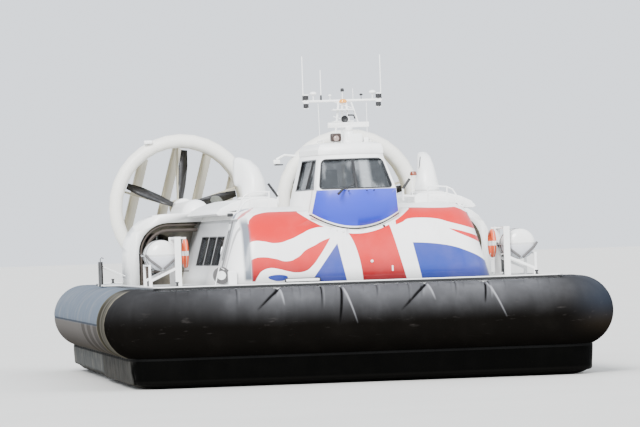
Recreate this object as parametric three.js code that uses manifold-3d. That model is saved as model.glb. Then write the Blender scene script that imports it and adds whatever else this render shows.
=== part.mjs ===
// A passenger hovercraft: a flat rafted hull on an inflated skirt, a cabin with a sloping nose and
// a wheelhouse on its roof, open fan bays along its sides, rotating bow thrusters, and two ducted
// propellers with rudders at the stern.
// Millimetres. X is to port, Y is aft, Z is up. The bow faces -Y and the skirt stands on Z = 0.
import * as THREE from "three";
import { mergeVertices } from "three/addons/utils/BufferGeometryUtils.js";
import Module from "manifold-3d";

const wasm = await Module();
wasm.setup();

// Driving dimensions of the hull and skirt.
const GAP = 0.5; // clearance between pieces that touch
const SLACK = 0.9; // clearance round pins and shafts in their bores
const RUN = 6; // clearance round pieces that move
const HALF_LENGTH = 10550; // deck, midships to bow or stern edge
const HALF_BEAM_BOW = 5120; // deck, at the bow corners
const HALF_BEAM_STERN = 4850;
const CORNER_RADIUS = 300;
const DECK_Z = 2500;
const HULL_SIDE_Z = 1500; // where the side turns into the bottom
const HULL_BOTTOM_Z = 1300;
const HULL_CHAMFER = 280;
const STRAKE = { out: 60, low: 2435, high: 2525 };
const BAG = { out: 420, z: 1585, radius: 890, top: 114, seamOut: 780, inner: -100 };
const FINGER = { pitch: 760, lip: 150, foot: 340, toe: -150, bulge: 90 };
const SKID = { x: 2600, width: 420, depth: 300, half: 7200 };

// Superstructure: half width and front edge of the cabin at each height.
const CABIN_LEVELS = [
  // z, half width, front y, corner radius
  [2500, 3400, -10430, 620],
  [2870, 3302, -10390, 620],
  [3500, 3134, -10270, 600],
  [3820, 3049, -10130, 580],
  [4150, 2962, -9790, 560],
  [4290, 2880, -9560, 520],
  [4390, 2720, -9230, 480],
  [4430, 2450, -8850, 420],
];
const CABIN = { rear: 7000, wall: 60, noseSplit: -9500, bulkhead: 3500, eaves: 4150, bow: 130 };
const DOOR = { front: -8975, rear: -8165, low: 2640, high: 4060, barrel: 16, swing: 10 };
const SIDE_WINDOWS = { low: 3010, high: 3720, panes: [-7900, -5990, -4080], width: 1760, glass: 12 };

// Wheelhouse: plan at each height. The front is bowed and the sides splay out towards the rear.
const WHEELHOUSE_LEVELS = [
  // z, front y, corner x, corner y, rear x, rear y
  [3700, -10200, 1080, -9780, 1330, -7300],
  [4150, -10360, 1120, -9960, 1380, -7300],
  [4800, -10520, 1010, -10340, 1250, -7300],
  [5600, -9760, 830, -9600, 1050, -7380],
  [5700, -9690, 810, -9540, 1025, -7390],
];
const WHEELHOUSE = { wall: 60, floor: 4180, sill: 4845, head: 5560, pillar: 30, roofOver: 20, roofTop: 6000 };
const CHIN = { low: 3780, rise: 0.00029, side: 4150 }; // curved lower edge of the wheelhouse's front

const BAY = { front: -1000, rear: 1500, out: 4900, knee: 3350, radius: 1050, shell: 240 };
const FAN = { x: 4080, z: 3300, intake: 600, bulkhead: 500, plate: 60, rotor: 540 };
const ENGINE = { x: 1650, y: 5250, width: 1100, length: 2300, height: 1150 };

const DUCT = { x: 2440, z: 4640, front: 8900, length: 1600, lip: 195, lipRadius: 1930, bore: 1745 };
const HUB = { radius: 250, propY: 9600, propLength: 300, shaft: 60, vaneY: 10150 };
const BLADE = { count: 5, tip: 1675, chord: 330, thick: 46, rootTwist: 58, tipTwist: 22 };
const RUDDER = {
  offsets: [-1350, -450, 450, 1350], // of each rudder from its duct's centre
  chord: 1000,
  nose: 180, // part of the chord ahead of the hinge
  thick: 120,
  hingeY: 10740,
  pin: 25,
  lean: 15, // degrees, tops towards the middle of the craft
  turned: 20, // degrees, trailing edges to port as it parks
};
const RUDDER_RIM = 1840; // middle of the duct's trailing edge

const TRUNK = { front: -8400, inner: 1760, outer: 3330, top: 4670 };
const THRUSTER = { x: 2230, y: -7450, radius: 320, base: 4820, bend: 560, mouthWide: 300, mouthTall: 740 };
const THRUSTER_TURNED = 33.75; // degrees, the starboard mouth outboard as it parks
const SPIGOT = 150;

const RAFT = { x: 4640, y: -6750, z: 3300, radius: 390, length: 1300, sides: 24, spread: 344, lip: 60 };
const FRAME_POST = { x: 4250, wide: 160, thick: 60, top: 3760 };
const BUOY = { x: 3990, z: 3332.5, radius: 315, tube: 62 };
const GANGWAY = { x: 5540, y: 950, half: 600, hinge: 2515, top: 3165, thick: 40, pin: 12, eye: 35 };
const MAST = { y: -8250, leg: 30, spread: 230, yard: 7090, yardHalf: 1020, whip: 8240 };
const RADAR = { y: -9250, z: 6380, half: 520, high: 130, deep: 170, spindle: 30 };

// Colours from the photograph.
const finish = (color, roughness, metalness = 0) =>
  new THREE.MeshStandardMaterial({ color, roughness, metalness });
const WHITE = finish(0xf0f0ec, 0.35);
const CREAM = finish(0xd9d6c4, 0.45);
const RUBBER = finish(0x1b1b1d, 0.6);
const DARK = finish(0x26282a, 0.5);
const GLASS = finish(0x2c3438, 0.1);
const FLAG_RED = finish(0xe8504e, 0.4);
const ORANGE = finish(0xe2502a, 0.5);
const METAL = finish(0x8d9194, 0.4, 0.8);

const craft = new THREE.Group();

function add(name, geometry, material) {
  const mesh = new THREE.Mesh(geometry, material);
  mesh.name = name;
  craft.add(mesh);
  return mesh;
}

// Mesh tools: every closed mesh is turned so that its faces point out.
function signedVolume(points, faces) {
  let volume = 0;
  for (const [a, b, c] of faces) {
    volume += points[a].dot(new THREE.Vector3().crossVectors(points[b], points[c])) / 6;
  }
  return volume;
}

function geometryOf(points, faces) {
  const facing = signedVolume(points, faces) < 0 ? faces.map(([a, b, c]) => [a, c, b]) : faces;
  return new THREE.BufferGeometry()
    .setAttribute("position", new THREE.Float32BufferAttribute(points.flatMap((p) => p.toArray()), 3))
    .setIndex(facing.flat());
}

function solid(geometry) {
  const bare = geometry.clone();
  bare.deleteAttribute("normal");
  bare.deleteAttribute("uv");
  const merged = mergeVertices(bare, 1e-3);
  const made = new wasm.Manifold(
    new wasm.Mesh({
      numProp: 3,
      vertProperties: new Float32Array(merged.attributes.position.array),
      triVerts: new Uint32Array(merged.index.array),
    }),
  );
  return made;
}

function shape(manifold) {
  const m = manifold.getMesh();
  return new THREE.BufferGeometry()
    .setAttribute("position", new THREE.Float32BufferAttribute(m.vertProperties, 3))
    .setIndex([...m.triVerts]);
}

const join = (...solids) => solids.reduce((a, b) => a.add(b));

// A skin through rings with equal point counts, capped at both ends unless it is closed on itself.
function loft(rings, closed = false) {
  const n = rings[0].length;
  const points = rings.flat();
  const faces = [];
  const last = closed ? rings.length : rings.length - 1;
  for (let r = 0; r < last; r++) {
    const next = (r + 1) % rings.length;
    for (let i = 0; i < n; i++) {
      const j = (i + 1) % n;
      const [a, b, c, d] = [r * n + i, r * n + j, next * n + j, next * n + i];
      faces.push([a, b, c], [a, c, d]);
    }
  }
  if (!closed) {
    for (const [start, flip] of [[0, true], [(rings.length - 1) * n, false]]) {
      for (const [a, b, c] of capOf(rings[start / n])) {
        faces.push(flip ? [start + a, start + c, start + b] : [start + a, start + b, start + c]);
      }
    }
  }
  return geometryOf(points, faces);
}

// Triangles of a flat ring, whichever way it faces and turns.
function capOf(ring) {
  const normal = new THREE.Vector3();
  ring.forEach((p, i) => normal.add(new THREE.Vector3().crossVectors(p, ring[(i + 1) % ring.length])));
  normal.normalize();
  const side = Math.abs(normal.z) < 0.9 ? new THREE.Vector3(0, 0, 1) : new THREE.Vector3(1, 0, 0);
  const u = new THREE.Vector3().crossVectors(side, normal).normalize();
  const v = new THREE.Vector3().crossVectors(normal, u);
  const flat = ring.map((p) => new THREE.Vector2(p.dot(u), p.dot(v)));
  return THREE.ShapeUtils.triangulateShape(flat, []);
}

function box(x0, x1, y0, y1, z0, z1) {
  return new THREE.BoxGeometry(x1 - x0, y1 - y0, z1 - z0).translate(
    (x0 + x1) / 2,
    (y0 + y1) / 2,
    (z0 + z1) / 2,
  );
}

// An outline of [a, b] pairs carried along one axis: along X it lies in YZ, along Y in XZ, along Z in XY.
function prism(outline, axis, from, to) {
  const at = { x: (a, b, c) => [c, a, b], y: (a, b, c) => [a, c, b], z: (a, b, c) => [a, b, c] }[axis];
  return loft([from, to].map((c) => outline.map(([a, b]) => new THREE.Vector3(...at(a, b, c)))));
}

// A round bar between two points.
function bar(from, to, radius, sides = 8) {
  const a = new THREE.Vector3(...from);
  const b = new THREE.Vector3(...to);
  const turn = new THREE.Quaternion().setFromUnitVectors(
    new THREE.Vector3(0, 1, 0),
    new THREE.Vector3().subVectors(b, a).normalize(),
  );
  return new THREE.CylinderGeometry(radius, radius, a.distanceTo(b), sides)
    .applyQuaternion(turn)
    .translate(...new THREE.Vector3().addVectors(a, b).multiplyScalar(0.5).toArray());
}

const mirrored = (geometry) => {
  const turned = geometry.clone().scale(-1, 1, 1);
  const index = turned.index ? [...turned.index.array] : [...turned.attributes.position.array.keys()];
  const faces = turned.index ? index : index.slice(0, turned.attributes.position.count);
  for (let i = 0; i < faces.length; i += 3) {
    [faces[i + 1], faces[i + 2]] = [faces[i + 2], faces[i + 1]];
  }
  return turned.setIndex(faces);
};

// Adds a piece on the port side and its mirror image on the starboard side.
function addPair(name, geometry, material) {
  add(name + "_port", geometry, material);
  add(name + "_starboard", mirrored(geometry), material);
}

// Plan of the hull: points on the deck's edge with their outward directions, at most `step` apart.
function planRays(step) {
  const rays = [];
  const corners = [
    [-1, -1, HALF_BEAM_BOW, 180],
    [1, -1, HALF_BEAM_BOW, 270],
    [1, 1, HALF_BEAM_STERN, 0],
    [-1, 1, HALF_BEAM_STERN, 90],
  ];
  corners.forEach(([sx, sy, beam, start], k) => {
    const cx = sx * (beam - CORNER_RADIUS);
    const cy = sy * (HALF_LENGTH - CORNER_RADIUS);
    const arcSteps = Math.max(6, Math.round((Math.PI * 0.5 * (CORNER_RADIUS + BAG.out)) / step) * 2);
    for (let i = 0; i <= arcSteps; i++) {
      const angle = THREE.MathUtils.degToRad(start + (90 * i) / arcSteps);
      const [nx, ny] = [Math.cos(angle), Math.sin(angle)];
      rays.push({ x: cx + CORNER_RADIUS * nx, y: cy + CORNER_RADIUS * ny, nx, ny });
    }
    const [nextX, nextY, nextBeam] = corners[(k + 1) % 4];
    const from = rays[rays.length - 1];
    const to = {
      x: nextX * (nextBeam - CORNER_RADIUS) + CORNER_RADIUS * from.nx,
      y: nextY * (HALF_LENGTH - CORNER_RADIUS) + CORNER_RADIUS * from.ny,
    };
    const pieces = Math.max(1, 2 * Math.round(Math.hypot(to.x - from.x, to.y - from.y) / (2 * step)));
    for (let i = 1; i < pieces; i++) {
      const t = i / pieces;
      rays.push({
        x: from.x + (to.x - from.x) * t,
        y: from.y + (to.y - from.y) * t,
        nx: from.nx,
        ny: from.ny,
      });
    }
  });
  return rays;
}

const onRay = (ray, out, z) => new THREE.Vector3(ray.x + ray.nx * out, ray.y + ray.ny * out, z);

// A ring carried round the plan: one [out, z] outline per ray.
const planRing = (rays, outlineOf) =>
  loft(rays.map((ray, i) => outlineOf(i).map(([out, z]) => onRay(ray, out, z))), true);

const COARSE = planRays(6000);
const beamAt = (y) =>
  HALF_BEAM_BOW + ((HALF_BEAM_STERN - HALF_BEAM_BOW) * (y + HALF_LENGTH)) / (2 * HALF_LENGTH);

// Hull: a flat raft with chamfered bottom edges.
const hullAt = (out, z) => COARSE.map((ray) => onRay(ray, out, z));
const hullBlock = () =>
  loft([hullAt(-HULL_CHAMFER, HULL_BOTTOM_Z), hullAt(0, HULL_SIDE_Z), hullAt(0, DECK_Z)]);
add("hull", hullBlock(), WHITE);

// Deck strake with the outrigger arms that carry the folding gangway plates.
function strake() {
  const { out, low, high } = STRAKE;
  const ring = planRing(COARSE, () => [[GAP, low], [out, low], [out, high], [GAP, high]]);
  const arms = [];
  for (const side of [-1, 1]) {
    for (const end of [-1, 1]) {
      const y = GANGWAY.y + end * (GANGWAY.half - 60);
      const inner = side * (beamAt(y) + 20);
      const outer = side * (GANGWAY.x + GANGWAY.eye);
      const [x0, x1] = [Math.min(inner, outer), Math.max(inner, outer)];
      const lug = box(x0, x1, y - 25, y + 25, DECK_Z + 2, DECK_Z + 24);
      const eyeX = side * GANGWAY.x;
      const eye = box(eyeX - GANGWAY.eye, eyeX + GANGWAY.eye, y - 25, y + 25, DECK_Z + 2, GANGWAY.hinge + 30);
      const { hinge, pin } = GANGWAY;
      const pinHole = solid(bar([eyeX, y - 60, hinge], [eyeX, y + 60, hinge], pin + SLACK, 12));
      arms.push(join(solid(lug), solid(eye)).subtract(pinHole));
    }
  }
  return shape(join(solid(ring), ...arms));
}
add("deck_strake", strake(), WHITE);

// Skirt: the inflated bag round the hull, and the row of fingers under it.
function bagOutline() {
  const end = THREE.MathUtils.radToDeg(Math.acos((BAG.seamOut - BAG.out) / BAG.radius));
  const steps = 11;
  const arc = Array.from({ length: steps + 1 }, (_, i) => {
    const angle = THREE.MathUtils.degToRad(BAG.top - ((BAG.top + end) * i) / steps);
    return [BAG.out + BAG.radius * Math.cos(angle), BAG.z + BAG.radius * Math.sin(angle)];
  });
  const seamZ = arc[steps][1];
  return [[GAP, BAG.z + BAG.radius - 120], ...arc, [BAG.inner, seamZ], [GAP, HULL_SIDE_Z]];
}
const BAG_SEAM_Z = BAG.z - Math.sqrt(BAG.radius ** 2 - (BAG.seamOut - BAG.out) ** 2);
add("skirt_bag", planRing(COARSE, bagOutline), RUBBER);

function fingers() {
  const rays = planRays(FINGER.pitch);
  const { lip, foot, toe, bulge } = FINGER;
  const top = BAG_SEAM_Z - GAP;
  const face = BAG.seamOut - 20;
  return planRing(rays, (i) => {
    const fold = i % 2 ? 0 : -bulge;
    return [
      [face + fold, top],
      [face - 10 + fold, lip - fold / 3],
      [foot + fold, 0],
      [toe, 0],
      [toe - 120, top],
    ];
  });
}
add("skirt_fingers", fingers(), RUBBER);

const skidEnds = 350;
const skidOutline = [
  [-SKID.half + skidEnds, HULL_BOTTOM_Z - SKID.depth],
  [SKID.half - skidEnds, HULL_BOTTOM_Z - SKID.depth],
  [SKID.half, HULL_BOTTOM_Z - GAP],
  [-SKID.half, HULL_BOTTOM_Z - GAP],
];
addPair("landing_skid", prism(skidOutline, "x", SKID.x - SKID.width / 2, SKID.x + SKID.width / 2), METAL);

// Value of a level table's column at a height.
function levelAt(levels, z) {
  if (z <= levels[0][0]) return levels[0].slice(1);
  for (let i = 1; i < levels.length; i++) {
    const [low, high] = [levels[i - 1], levels[i]];
    if (z <= high[0]) {
      const t = (z - low[0]) / (high[0] - low[0]);
      return low.slice(1).map((v, k) => v + (high[k + 1] - v) * t);
    }
  }
  return levels[levels.length - 1].slice(1);
}

// Plan ring of the cabin at one height, grown outwards by `grow`.
function cabinRing(z, grow, rear = CABIN.rear + grow) {
  const [width, front, corner] = levelAt(CABIN_LEVELS, z);
  const [w, f, r] = [width + grow, front - grow, corner + grow];
  const half = [];
  for (const share of [0.12, 0.4, 0.7]) {
    const x = share * (w - r);
    half.push([x, f - CABIN.bow * (1 - share * share) + CABIN.bow * 0.51]);
  }
  const arcSteps = 6;
  for (let i = 0; i <= arcSteps; i++) {
    const angle = (Math.PI / 2) * (i / arcSteps);
    half.push([w - r + r * Math.sin(angle), f + r - r * Math.cos(angle)]);
  }
  half.push([w, rear]);
  const mirror = half.map(([x, y]) => [-x, y]).reverse();
  return [...half, ...mirror].map(([x, y]) => new THREE.Vector3(x, y, z));
}

function cabinBlock(grow, low = DECK_Z + GAP, high = null) {
  const heights = CABIN_LEVELS.map(([z]) => z).filter((z) => z > low);
  const top = heights[heights.length - 1];
  const rings = [cabinRing(low, grow), ...heights.map((z) => cabinRing(z, grow))];
  if (high !== null) {
    rings.push(rings[rings.length - 1].map((p) => new THREE.Vector3(p.x, p.y, high)));
  } else if (grow < 0) {
    rings.pop();
    rings.push(cabinRing(top, grow).map((p) => new THREE.Vector3(p.x, p.y, top + grow)));
  }
  return solid(loft(rings));
}

// Plan ring of the wheelhouse at one height, grown by `grow`.
function wheelhouseRing(z, grow, at = z) {
  const [front, cornerX, cornerY, rearX, rearY] = levelAt(WHEELHOUSE_LEVELS, z);
  const half = [
    [0, front],
    [cornerX * 0.6, front + (cornerY - front) * 0.32],
    [cornerX, cornerY],
    [rearX, rearY],
  ];
  const outline = [...half, ...half.slice(1).reverse().map(([x, y]) => [-x, y])];
  return grown(outline, grow).map(([x, y]) => new THREE.Vector3(x, y, at));
}

// A convex outline with every side moved outwards by `distance`.
function grown(outline, distance) {
  const n = outline.length;
  const sides = outline.map(([x, y], i) => {
    const [nx, ny] = outline[(i + 1) % n];
    const length = Math.hypot(nx - x, ny - y);
    const out = [(ny - y) / length, -(nx - x) / length];
    return { x: x + out[0] * distance, y: y + out[1] * distance, dx: nx - x, dy: ny - y };
  });
  return sides.map((side, i) => {
    const before = sides[(i + n - 1) % n];
    const cross = before.dx * side.dy - before.dy * side.dx;
    const t = ((side.x - before.x) * side.dy - (side.y - before.y) * side.dx) / cross;
    return [before.x + before.dx * t, before.y + before.dy * t];
  });
}

function wheelhouseBlock(grow, low = 3700, high = 5700) {
  const heights = WHEELHOUSE_LEVELS.map(([z]) => z).filter((z) => z > low && z < high);
  return solid(loft([low, ...heights, high].map((z) => wheelhouseRing(z, grow))));
}

// Everything above the curved lower edge of the wheelhouse's front, lowered by `drop`.
function aboveChin(drop) {
  const edge = Array.from({ length: 17 }, (_, i) => {
    const x = -2000 + 250 * i;
    return [x, Math.min(CHIN.low + CHIN.rise * x * x, CHIN.side) - drop];
  });
  return solid(prism([...edge, [2000, 7000], [-2000, 7000]], "y", -11000, -6000));
}

// Cabin shell, cut into a nose, a roof, two sides and the engine room behind the bulkhead.
const reach = 7000; // wider and taller than the superstructure
const region = (x0, x1, y0, y1, z0, z1) => solid(box(x0, x1, y0, y1, z0, z1));
const cabinShell = cabinBlock(0)
  .subtract(cabinBlock(-CABIN.wall, DECK_Z - 200))
  .subtract(wheelhouseBlock(GAP, 3600, 5700).intersect(aboveChin(GAP)));

const noseBack = CABIN.noseSplit;
add("nose_shell", shape(cabinShell.intersect(region(-reach, reach, -11000, noseBack, 0, reach))), FLAG_RED);

const roofRegion = region(-reach, reach, noseBack + GAP, CABIN.bulkhead, CABIN.eaves + GAP, reach);
add("cabin_roof", shape(cabinShell.intersect(roofRegion)), WHITE);

// The side wall leans in by this much for each millimetre of height.
const WALL_LEAN = (CABIN_LEVELS[0][1] - CABIN_LEVELS[4][1]) / (CABIN_LEVELS[4][0] - CABIN_LEVELS[0][0]);
const LEAN_ANGLE = Math.atan(WALL_LEAN);
const wallX = (z) => CABIN_LEVELS[0][1] - (z - CABIN_LEVELS[0][0]) * WALL_LEAN;
const offWall = (z, out) => [wallX(z) + out * Math.cos(LEAN_ANGLE), z + out * Math.sin(LEAN_ANGLE)];
const WALL_INNER = -CABIN.wall * Math.cos(LEAN_ANGLE);
// A slab square to the leaning port wall, from `inner` to `outer` off its outside face.
function wallSlab(y0, y1, z0, z1, inner, outer) {
  return prism([offWall(z0, inner), offWall(z0, outer), offWall(z1, outer), offWall(z1, inner)], "y", y0, y1);
}

// Door hinge line: outside the wall, at the door's front edge.
function hingePoint(z) {
  const [x, up] = offWall(z, DOOR.barrel);
  return [x, DOOR.front, up];
}
const DOOR_PIN = 9;
const LUG_HEIGHT = 60;

function cabinSide() {
  const wall = cabinShell.intersect(
    region(0, reach, noseBack + GAP, CABIN.bulkhead, 0, CABIN.eaves - GAP),
  );
  const doorway = solid(
    wallSlab(DOOR.front - RUN, DOOR.rear + DOOR.swing, DOOR.low - RUN, DOOR.high + RUN, -200, 200),
  );
  const windows = SIDE_WINDOWS.panes.map((y) =>
    solid(wallSlab(y, y + SIDE_WINDOWS.width, SIDE_WINDOWS.low, SIDE_WINDOWS.high, -200, 200)),
  );
  const lugs = [DOOR.low - RUN - LUG_HEIGHT, DOOR.high + RUN].map((z) => {
    const block = wallSlab(DOOR.front - 22, DOOR.front + 18, z, z + LUG_HEIGHT, -30, 2 * DOOR.barrel + 4);
    const bore = bar(hingePoint(z - 80), hingePoint(z + LUG_HEIGHT + 80), DOOR_PIN + SLACK, 12);
    return { block: solid(block), bore: solid(bore) };
  });
  let side = windows.reduce((a, b) => a.subtract(b), wall.subtract(doorway));
  side = join(side, ...lugs.map((lug) => lug.block));
  return shape(lugs.reduce((a, lug) => a.subtract(lug.bore), side));
}
addPair("cabin_side", cabinSide(), WHITE);

function cabinDoor() {
  const leaf = solid(wallSlab(DOOR.front, DOOR.rear, DOOR.low, DOOR.high, WALL_INNER, 0));
  const pane = solid(
    wallSlab(DOOR.front + 190, DOOR.rear - 190, 3150, DOOR.high - 200, -200, 200),
  );
  const strip = solid(wallSlab(DOOR.front - 4, DOOR.front + 14, DOOR.low, DOOR.high, -2, DOOR.barrel));
  const barrel = solid(bar(hingePoint(DOOR.low + 4), hingePoint(DOOR.high - 4), DOOR.barrel - 2, 16));
  const pin = solid(
    bar(hingePoint(DOOR.low - RUN - 40), hingePoint(DOOR.high + RUN + 40), DOOR_PIN, 12),
  );
  const glass = solid(
    wallSlab(DOOR.front + 180, DOOR.rear - 180, 3140, DOOR.high - 190, -40, -28),
  );
  return shape(join(leaf.subtract(pane), glass, strip, barrel, pin));
}
addPair("cabin_door", cabinDoor(), WHITE);

const glazingOuter = WALL_INNER - 2 * GAP;
const lastPane = SIDE_WINDOWS.panes[SIDE_WINDOWS.panes.length - 1];
addPair(
  "side_glazing",
  wallSlab(
    SIDE_WINDOWS.panes[0] - 60,
    lastPane + SIDE_WINDOWS.width + 60,
    SIDE_WINDOWS.low - 60,
    SIDE_WINDOWS.high + 60,
    glazingOuter - SIDE_WINDOWS.glass,
    glazingOuter,
  ),
  GLASS,
);

function engineRoom() {
  const front = CABIN.bulkhead + GAP;
  const shell = cabinShell.intersect(region(-reach, reach, front, CABIN.rear, 0, reach));
  const ends = [
    [front, front + CABIN.wall],
    [CABIN.rear - CABIN.wall, CABIN.rear],
  ].map(([y0, y1]) => cabinBlock(0).intersect(region(-reach, reach, y0, y1, 0, reach)));
  return shape(join(shell, ...ends));
}
add("engine_room", engineRoom(), WHITE);

addPair(
  "engine",
  box(
    ENGINE.x - ENGINE.width / 2,
    ENGINE.x + ENGINE.width / 2,
    ENGINE.y - ENGINE.length / 2,
    ENGINE.y + ENGINE.length / 2,
    DECK_Z + GAP,
    DECK_Z + ENGINE.height,
  ),
  DARK,
);

// Wheelhouse: walls with their windows cut, glass behind them, roof, and the helm inside.
const sideWindow = [
  [-9980, WHEELHOUSE.sill],
  [-7760, WHEELHOUSE.sill],
  [-7760, WHEELHOUSE.head],
  [-9360, WHEELHOUSE.head],
];
const SIDE_MULLION = -8900;
// The room inside the wheelhouse, held off its walls by `clear`.
const wheelhouseInside = (clear) =>
  wheelhouseBlock(-WHEELHOUSE.wall - clear, WHEELHOUSE.floor + clear, 5800);

function wheelhouseShell() {
  const { sill, head, pillar } = WHEELHOUSE;
  const panes = [-1, 1].map((side) => [
    [side * pillar, sill],
    [side * 905, sill],
    [side * 745, head],
    [side * pillar, head],
  ]);
  const shell = wheelhouseBlock(0).intersect(aboveChin(0)).subtract(wheelhouseInside(0));
  const mullion = solid(box(-reach, reach, SIDE_MULLION - 30, SIDE_MULLION + 30, 0, reach));
  const sides = solid(prism(sideWindow, "x", -3000, 3000)).subtract(mullion);
  const rear = solid(box(-700, 700, -7700, -7000, sill + 60, head - 40));
  return shape(
    panes.reduce((a, pane) => a.subtract(solid(prism(pane, "y", -11000, -9300))), shell)
      .subtract(sides)
      .subtract(rear),
  );
}
add("wheelhouse_shell", wheelhouseShell(), WHITE);

function wheelhouseGlass() {
  const [low, high] = [WHEELHOUSE.sill - 30, WHEELHOUSE.head + 30];
  const band = wheelhouseInside(GAP).subtract(wheelhouseInside(GAP + 12));
  return shape(band.intersect(region(-reach, reach, -reach * 2, 0, low, high)));
}
add("wheelhouse_glass", wheelhouseGlass(), GLASS);

function wheelhouseRoof() {
  const low = 5700 + GAP;
  const over = WHEELHOUSE.roofOver;
  const top = WHEELHOUSE.roofTop;
  const slab = loft([
    wheelhouseRing(5700, over, low),
    wheelhouseRing(5700, over, top - 170),
    wheelhouseRing(5700, over - 60, top - 50),
    wheelhouseRing(5700, over - 210, top),
  ]);
  const pedestal = new THREE.CylinderGeometry(130, 170, RADAR.z - RUN - 90 - top + 20, 16)
    .rotateX(Math.PI / 2)
    .translate(0, RADAR.y, (RADAR.z - RUN - 90 + top - 20) / 2);
  const bore = bar([0, RADAR.y, top + 60], [0, RADAR.y, RADAR.z + 50], RADAR.spindle + SLACK, 16);
  return shape(join(solid(slab), solid(pedestal)).subtract(solid(bore)));
}
add("wheelhouse_roof", wheelhouseRoof(), WHITE);

function helm() {
  const { floor: low } = WHEELHOUSE;
  const floor = wheelhouseInside(GAP).intersect(region(-reach, reach, -reach * 2, 0, low, low + 30));
  const parts = [
    box(-760, 760, -9960, -9490, low + 20, low + 600),
    box(-760, 760, -9840, -9440, low + 520, low + 720),
  ];
  for (const x of [-480, 480]) {
    parts.push(box(x - 90, x + 90, -8960, -8780, low + 20, low + 380));
    parts.push(box(x - 240, x + 240, -9120, -8640, low + 360, low + 500));
    parts.push(box(x - 230, x + 230, -8720, -8600, low + 480, low + 1150));
  }
  return shape(join(floor, ...parts.map(solid)));
}
add("helm", helm(), DARK);

// Fan bays: a rounded shell over the side deck, open in front, with a lift fan behind its intake.
function arcPoints(cx, cz, radius, from, to, steps) {
  return Array.from({ length: steps + 1 }, (_, i) => {
    const angle = THREE.MathUtils.degToRad(from + ((to - from) * i) / steps);
    return [cx + radius * Math.cos(angle), cz + radius * Math.sin(angle)];
  });
}

const fanBack = BAY.rear - FAN.plate; // front face of the plate that carries the fan's shaft
function fanBay() {
  const { out, knee, radius, shell, front, rear } = BAY;
  const low = DECK_Z + GAP;
  const cx = out - radius;
  const inboard = 2600;
  const outer = [[out, low], ...arcPoints(cx, knee, radius, 0, 90, 8), [inboard, knee + radius]];
  const inner = [[inboard, knee + radius - shell], ...arcPoints(cx, knee, radius - shell, 90, 0, 8)];
  const arch = solid(prism([...outer, ...inner, [out - shell, low]], "y", front, rear));
  const full = (y0, y1) => solid(prism([...outer, [inboard, low]], "y", y0, y1));
  const intake = solid(bar([FAN.x, front, FAN.z], [FAN.x, fanBack - 100, FAN.z], FAN.intake, 24));
  const bulkhead = full(FAN.bulkhead, FAN.bulkhead + FAN.plate).subtract(intake);
  const bore = bar([FAN.x, fanBack - 100, FAN.z], [FAN.x, fanBack + 50, FAN.z], HUB.shaft + SLACK, 24);
  const back = full(fanBack, rear).subtract(solid(bore));
  return shape(join(arch, bulkhead, back).subtract(cabinBlock(GAP, DECK_Z - 100, 5200)));
}
addPair("fan_bay", fanBay(), WHITE);

function liftFan() {
  const y0 = FAN.bulkhead + FAN.plate + 40;
  const y1 = fanBack - 60;
  const back = solid(bar([FAN.x, y1 - 40, FAN.z], [FAN.x, y1, FAN.z], FAN.rotor, 20));
  const nose = solid(bar([FAN.x, y0 + 80, FAN.z], [FAN.x, y1 - 20, FAN.z], 170, 16));
  const shaft = solid(bar([FAN.x, y1 - 20, FAN.z], [FAN.x, fanBack + 40, FAN.z], HUB.shaft, 24));
  const blades = Array.from({ length: 8 }, (_, i) =>
    solid(
      box(150, FAN.rotor - 10, y0, y1 - 20, -14, 14)
        .translate(0, 0, 60)
        .rotateY((i * Math.PI) / 4)
        .translate(FAN.x, 0, FAN.z),
    ),
  );
  return shape(join(back, nose, shaft, ...blades));
}
addPair("lift_fan", liftFan(), METAL);

// Air trunks along the roof edges, and the bow thrusters that stand on them.
function airTrunk() {
  const { inner, outer, top, front } = TRUNK;
  const outline = [
    [inner, 4300],
    [outer - 60, 4262],
    [outer, 4310],
    [outer - 110, 4440],
    [outer - 380, 4570],
    [outer - 760, top],
    [inner + 90, top],
    [inner, top - 80],
  ];
  const casing = solid(prism(outline, "y", front, BAY.front - GAP));
  const spigot = solid(
    bar([THRUSTER.x, THRUSTER.y, 4500], [THRUSTER.x, THRUSTER.y, 4800], SPIGOT + SLACK, 32),
  );
  return shape(casing.subtract(spigot).subtract(cabinBlock(GAP)));
}
addPair("air_trunk", airTrunk(), WHITE);

// A rounded rectangle ring, `wide` across X and `tall` in the plane turned by `angle` from flat to upright.
function elbowRing(y, z, angle, wide, tall, round) {
  const n = 16;
  return Array.from({ length: n }, (_, i) => {
    const a = (2 * Math.PI * i) / n;
    const power = 2 / round;
    const c = Math.sign(Math.cos(a)) * Math.abs(Math.cos(a)) ** power;
    const s = Math.sign(Math.sin(a)) * Math.abs(Math.sin(a)) ** power;
    const along = (tall / 2) * s;
    return new THREE.Vector3(
      THRUSTER.x + (wide / 2) * c,
      THRUSTER.y + y - along * Math.cos(angle),
      z + along * Math.sin(angle),
    );
  });
}

function elbow(shrink, low, extend) {
  const { radius, base, bend, mouthWide, mouthTall } = THRUSTER;
  const rings = [
    elbowRing(0, low, 0, 2 * (radius - shrink), 2 * (radius - shrink), 2),
    elbowRing(0, base, 0, 2 * (radius - shrink), 2 * (radius - shrink), 2),
  ];
  const steps = 4;
  for (let i = 1; i <= steps; i++) {
    const t = i / steps;
    const angle = (Math.PI / 2) * t;
    const wide = 2 * radius + (mouthWide - 2 * radius) * t ** 0.8;
    const tall = 2 * radius + (mouthTall - 2 * radius) * t;
    const y = bend - bend * Math.cos(angle);
    const z = base + bend * Math.sin(angle);
    rings.push(elbowRing(y, z, angle, wide - 2 * shrink, tall - 2 * shrink, 2 + 2 * t));
  }
  const mouth = elbowRing(
    bend + extend,
    base + bend,
    Math.PI / 2,
    mouthWide - 2 * shrink,
    mouthTall - 2 * shrink,
    4,
  );
  return solid(loft([...rings, mouth]));
}

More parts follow.
